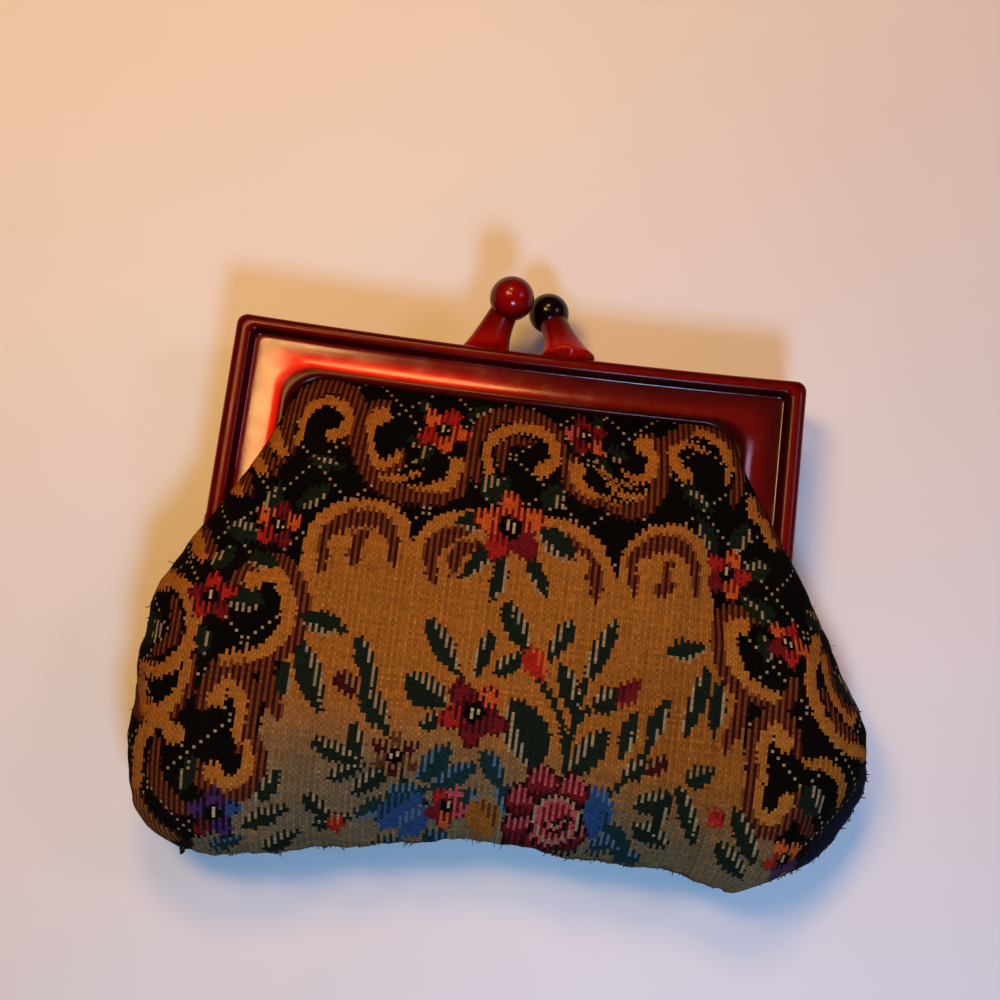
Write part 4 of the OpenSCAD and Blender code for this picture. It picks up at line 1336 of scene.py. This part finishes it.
for name, folded, turn_over in (("front_lining_cloth", True, False), ("back_lining_cloth", False, True)):
    cut, cut_faces, _, _ = cut_panel(folded, LINING_PITCH, LINING_PITCH)
    if turn_over:
        # The front half's lugs swing down behind the parting plane as the purse opens, so the
        # back lining is notched round them.
        from_pin = np.abs(cut[cut_faces].mean(1) + [0.0, LEG_LENGTH])
        by_lug = (from_pin[:, 0] > NOTCH_FROM) & (from_pin[:, 1] < NOTCH_REACH)
        used, cut_faces = np.unique(cut_faces[~by_lug], return_inverse=True)
        cut, cut_faces = cut[used], cut_faces.reshape(-1, 4)
    inner, _, _ = bag_surface(cut, folded)
    if not turn_over:
        inner = inner + settled(cut, movement)
    outer = inner
    inner = inner - surface_normals(inner, cut_faces) * LINING_GAP
    inner[:, 2] = np.maximum(inner[:, 2], 0.03)
    if turn_over:
        inner[:, 2] = np.minimum(inner[:, 2], parting - 1.2)
        obj = make_piece(name, place(inner * [1, 1, -1]), cut_faces[:, ::-1])
        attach(obj, "back_half")
        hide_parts("back_lining")
    else:
        obj = make_piece(name, place(inner), cut_faces)
        cross_the_joint(obj, under_at_reach(outer, inner))
        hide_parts("front_lining", "front_lining_fold", "front_lining_yoke")
    give_thickness(obj, LINING_THICKNESS)
    obj.data.materials.append(lining_finish)
    print(obj.name, len(cut_faces), "faces")


def corner_band():
    """A ruled strip between the folded edge of the front panel and the bag's own outline,
    with a low crown: height is a sine of the way across."""
    y = np.linspace(-57.6, -88.2, 70)[:, None]
    inner = side_reach(y, 1, True) - 1.2
    outer = side_reach(y, 1, False)
    t = np.linspace(0, 1, 14)[None, :]
    x = inner + (outer - inner) * t
    crown = np.minimum(1.9, 0.22 * (outer - inner))
    z = 0.25 + crown * np.sin(np.pi * t) ** 0.7 - 0.25 * t
    return np.stack([x, y + 0 * t, z], -1).reshape(-1, 3), grid_faces(70, 14)[:, ::-1]


corner_points, corner_faces = corner_band()
corner = make_piece("turned_corner", place(corner_points), corner_faces)
give_thickness(corner, 0.2)
corner.data.materials.append(lining_finish)
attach(corner, "back_half")
print("turned corner:", len(corner_faces), "faces")

# %% [markdown]
# ## Frayed seams
# The turned seam has worn, and short ends of thread stick out all along it, closer together
# at the top of each side where the stitching ends. Each is a three-sided wisp that bends once.
# They are drawn from a fixed seed, so every build gives the same ones.

# %% Frayed threads
def seam_side(y, side):
    """The seam's place across at height y, on the left where side is below zero."""
    return np.where(side < 0, side_reach(y, -1, False), side_reach(y, 1, False))


def frayed_threads(count=800, seed=11):
    """Wisps along the seam. Each starts on the outline, points away from it with some
    spread, and tapers to its end in three rings."""
    chance = np.random.default_rng(seed)
    y = chance.uniform(-88.5, -41.0, count)
    side = chance.choice([-1, 1], count)
    x = seam_side(y, side)
    low = chance.random(count) < 0.42
    x = np.where(low, chance.uniform(-43, 44, count), x)
    y = np.where(low, between(x, BOTTOM, 1) + 1.2 * seam_waver(x), y)
    tuft = chance.random(count) < 0.10
    y = np.where(tuft, np.where(side < 0, -41.8, -39.2) + chance.normal(0, 0.7, count), y)
    x = np.where(tuft, side * 0.3 + seam_side(y, side), x)
    outward = np.where(low, -np.pi / 2, np.where(side < 0, np.pi, 0.0)) + chance.normal(0, 1.0, count)
    length = chance.gamma(2.4, 0.16, count).clip(0.15, 0.9)
    lift = chance.normal(0.15, 0.4, count)
    way = np.stack([np.cos(outward), np.sin(outward), lift], 1)
    start = np.stack([x, y, chance.uniform(-0.2, 0.5, count)], 1) - way * 0.4
    bend = np.cross(way, chance.normal(0, 0.9, (count, 3)))
    t = np.array([0.0, 0.45, 1.0])[None, :, None]
    reach = length[:, None, None] * t
    spine = start[:, None] + way[:, None] * reach + bend[:, None] * reach * t * 0.6
    a = np.cross(way, [0.0, 0.0, 1.0])
    a /= np.linalg.norm(a, axis=1, keepdims=True)
    b = np.cross(way, a)
    turn = 2 * np.pi * np.arange(3) / 3
    round_ = np.cos(turn)[None, :, None] * a[:, None] + np.sin(turn)[None, :, None] * b[:, None]
    radius = np.array([0.16, 0.13, 0.06])[None, :, None, None]
    points = (spine[:, :, None] + round_[:, None] * radius).reshape(-1, 3)
    first_point = 9 * np.arange(count)[:, None, None]
    faces = (grid_faces(3, 3, wrap=True)[None] + first_point).reshape(-1, 4)
    ends = (np.array([[2, 1, 0], [6, 7, 8]])[None] + first_point).reshape(-1, 3)
    return points, faces, ends


fray = quads_and_triangles("frayed_threads", [in_place(frayed_threads())])
fray_finish = plain_cloth("fray_dark", (0.012, 0.010, 0.010), (0.10, 0.06, 0.035))
fray.data.materials.append(fray_finish)
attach(fray, "back_half")
print("frayed threads:", len(fray.data.polygons), "faces")

# %% [markdown]

# %% [markdown]
# ## Pins and cords
# The hinge pins are brass and the cords that wedge the cloth in the frame are paper or
# cotton. Both keep the exact shapes of the solids, and get a finish of their own.

# %% Finishes for the kept solids
def brass():
    """Drawn brass: fine rings round the pin and a dull tarnish."""
    material, tree, shader = new_finish("pin_brass_finish", (0.6, 0.42, 0.16))
    stain = noise(tree, 900.0, 4.0)
    rings = node(tree, "ShaderNodeTexWave", {"Vector": own_place(tree), "Scale": 1800.0,
                                             "Distortion": 1.5}).outputs["Fac"]
    tarnish = ramp(tree, stain, [(0.3, (0.32, 0.19, 0.06)), (0.7, (0.68, 0.48, 0.19))])
    feed(tree, shader, Base_Color=tarnish, Roughness=maths(tree, "MULTIPLY_ADD", stain, 0.3, 0.22),
         Normal=bump(tree, rings, 0.15, 0.0001), Metallic=1.0)
    return material


def twisted_cord():
    """Cotton cord: slanting strands."""
    material, tree, shader = new_finish("cord_cotton_finish", (0.5, 0.44, 0.33))
    strands = node(tree, "ShaderNodeTexWave", {"Vector": own_place(tree), "Scale": 700.0,
                                               "Distortion": 2.0},
                                               bands_direction="DIAGONAL").outputs["Fac"]
    shade = ramp(tree, strands, [(0.0, (0.26, 0.21, 0.14)), (1.0, (0.55, 0.48, 0.36))])
    feed(tree, shader, Base_Color=shade, Normal=bump(tree, strands, 0.6, 0.0002),
         Roughness=maths(tree, "MULTIPLY_ADD", noise(tree, 1500.0), 0.2, 0.75))
    return material


brass_finish, cord_finish = brass(), twisted_cord()
for name, finish in (("left_hinge_pin", brass_finish), ("right_hinge_pin", brass_finish),
                     ("front_channel_cord", cord_finish), ("back_channel_cord", cord_finish)):
    solid = frame["nodes"][name]
    for index in range(len(solid.material_slots)):
        solid.material_slots[index].material = finish
    print(name, len(solid.material_slots), "slot now", finish.name)

# %% [markdown]
# ## Floor and light
# The table is plain and pale. Two warm lights hang beyond the bar on the left, a cool one
# stands in front of the bag, and a weak violet one at the right. Each shadow is filled by
# the other lights' colour: warm above the frame and blue below the bag.

# %% Floor
def table_top():
    """A wide matt floor with the faintest mottling."""
    bpy.ops.mesh.primitive_plane_add(size=6.0)
    floor = bpy.context.object
    floor.name = "table_top"
    material, tree, shader = new_finish("table_white", (0.8, 0.8, 0.8))
    mottled = ramp(tree, noise(tree, 18.0, 2.0), [(0.3, (0.79, 0.78, 0.77)), (0.7, (0.82, 0.81, 0.80))])
    feed(tree, shader, Base_Color=mottled,
         Roughness=maths(tree, "MULTIPLY_ADD", noise(tree, 500.0, 3.0), 0.1, 0.55),
         Specular_IOR_Level=0.3)
    floor.data.materials.append(material)


table_top()

# %% Lights
def softbox(name, place_mm, target_mm, size, colour, watts):
    """A rectangular light of the given size in metres at a point, aimed at another."""
    data = bpy.data.lights.new(name, "AREA")
    data.shape, data.size, data.size_y = "RECTANGLE", *size
    data.color, data.energy = colour, watts
    lamp = bpy.data.objects.new(name, data)
    bpy.context.scene.collection.objects.link(lamp)
    start, aim = Vector(place(place_mm)), Vector(place(target_mm))
    lamp.location = start
    lamp.rotation_euler = (aim - start).to_track_quat("-Z", "Y").to_euler()


softbox("warm_window", (-143, 64, 350), (-30, -10, 0), (0.085, 0.11), (1.0, 0.56, 0.19), 0.76)
softbox("warm_wall", (-50, 200, 330), (0, 0, 0), (0.10, 0.08), (1.0, 0.52, 0.16), 0.56)
softbox("cool_sky", (60, -215, 240), (0, -40, 0), (0.065, 0.058), (0.30, 0.58, 1.0), 0.56)
softbox("violet_room", (330, 90, 330), (0, -20, 0), (0.10, 0.10), (0.80, 0.62, 1.0), 0.25)

world = bpy.data.worlds.new("room")
world.use_nodes = True
world.node_tree.nodes["Background"].inputs["Color"].default_value = (0.75, 0.62, 0.56, 1.0)
world.node_tree.nodes["Background"].inputs["Strength"].default_value = 0.075
bpy.context.scene.world = world
bpy.context.scene.view_settings.view_transform = "Standard"
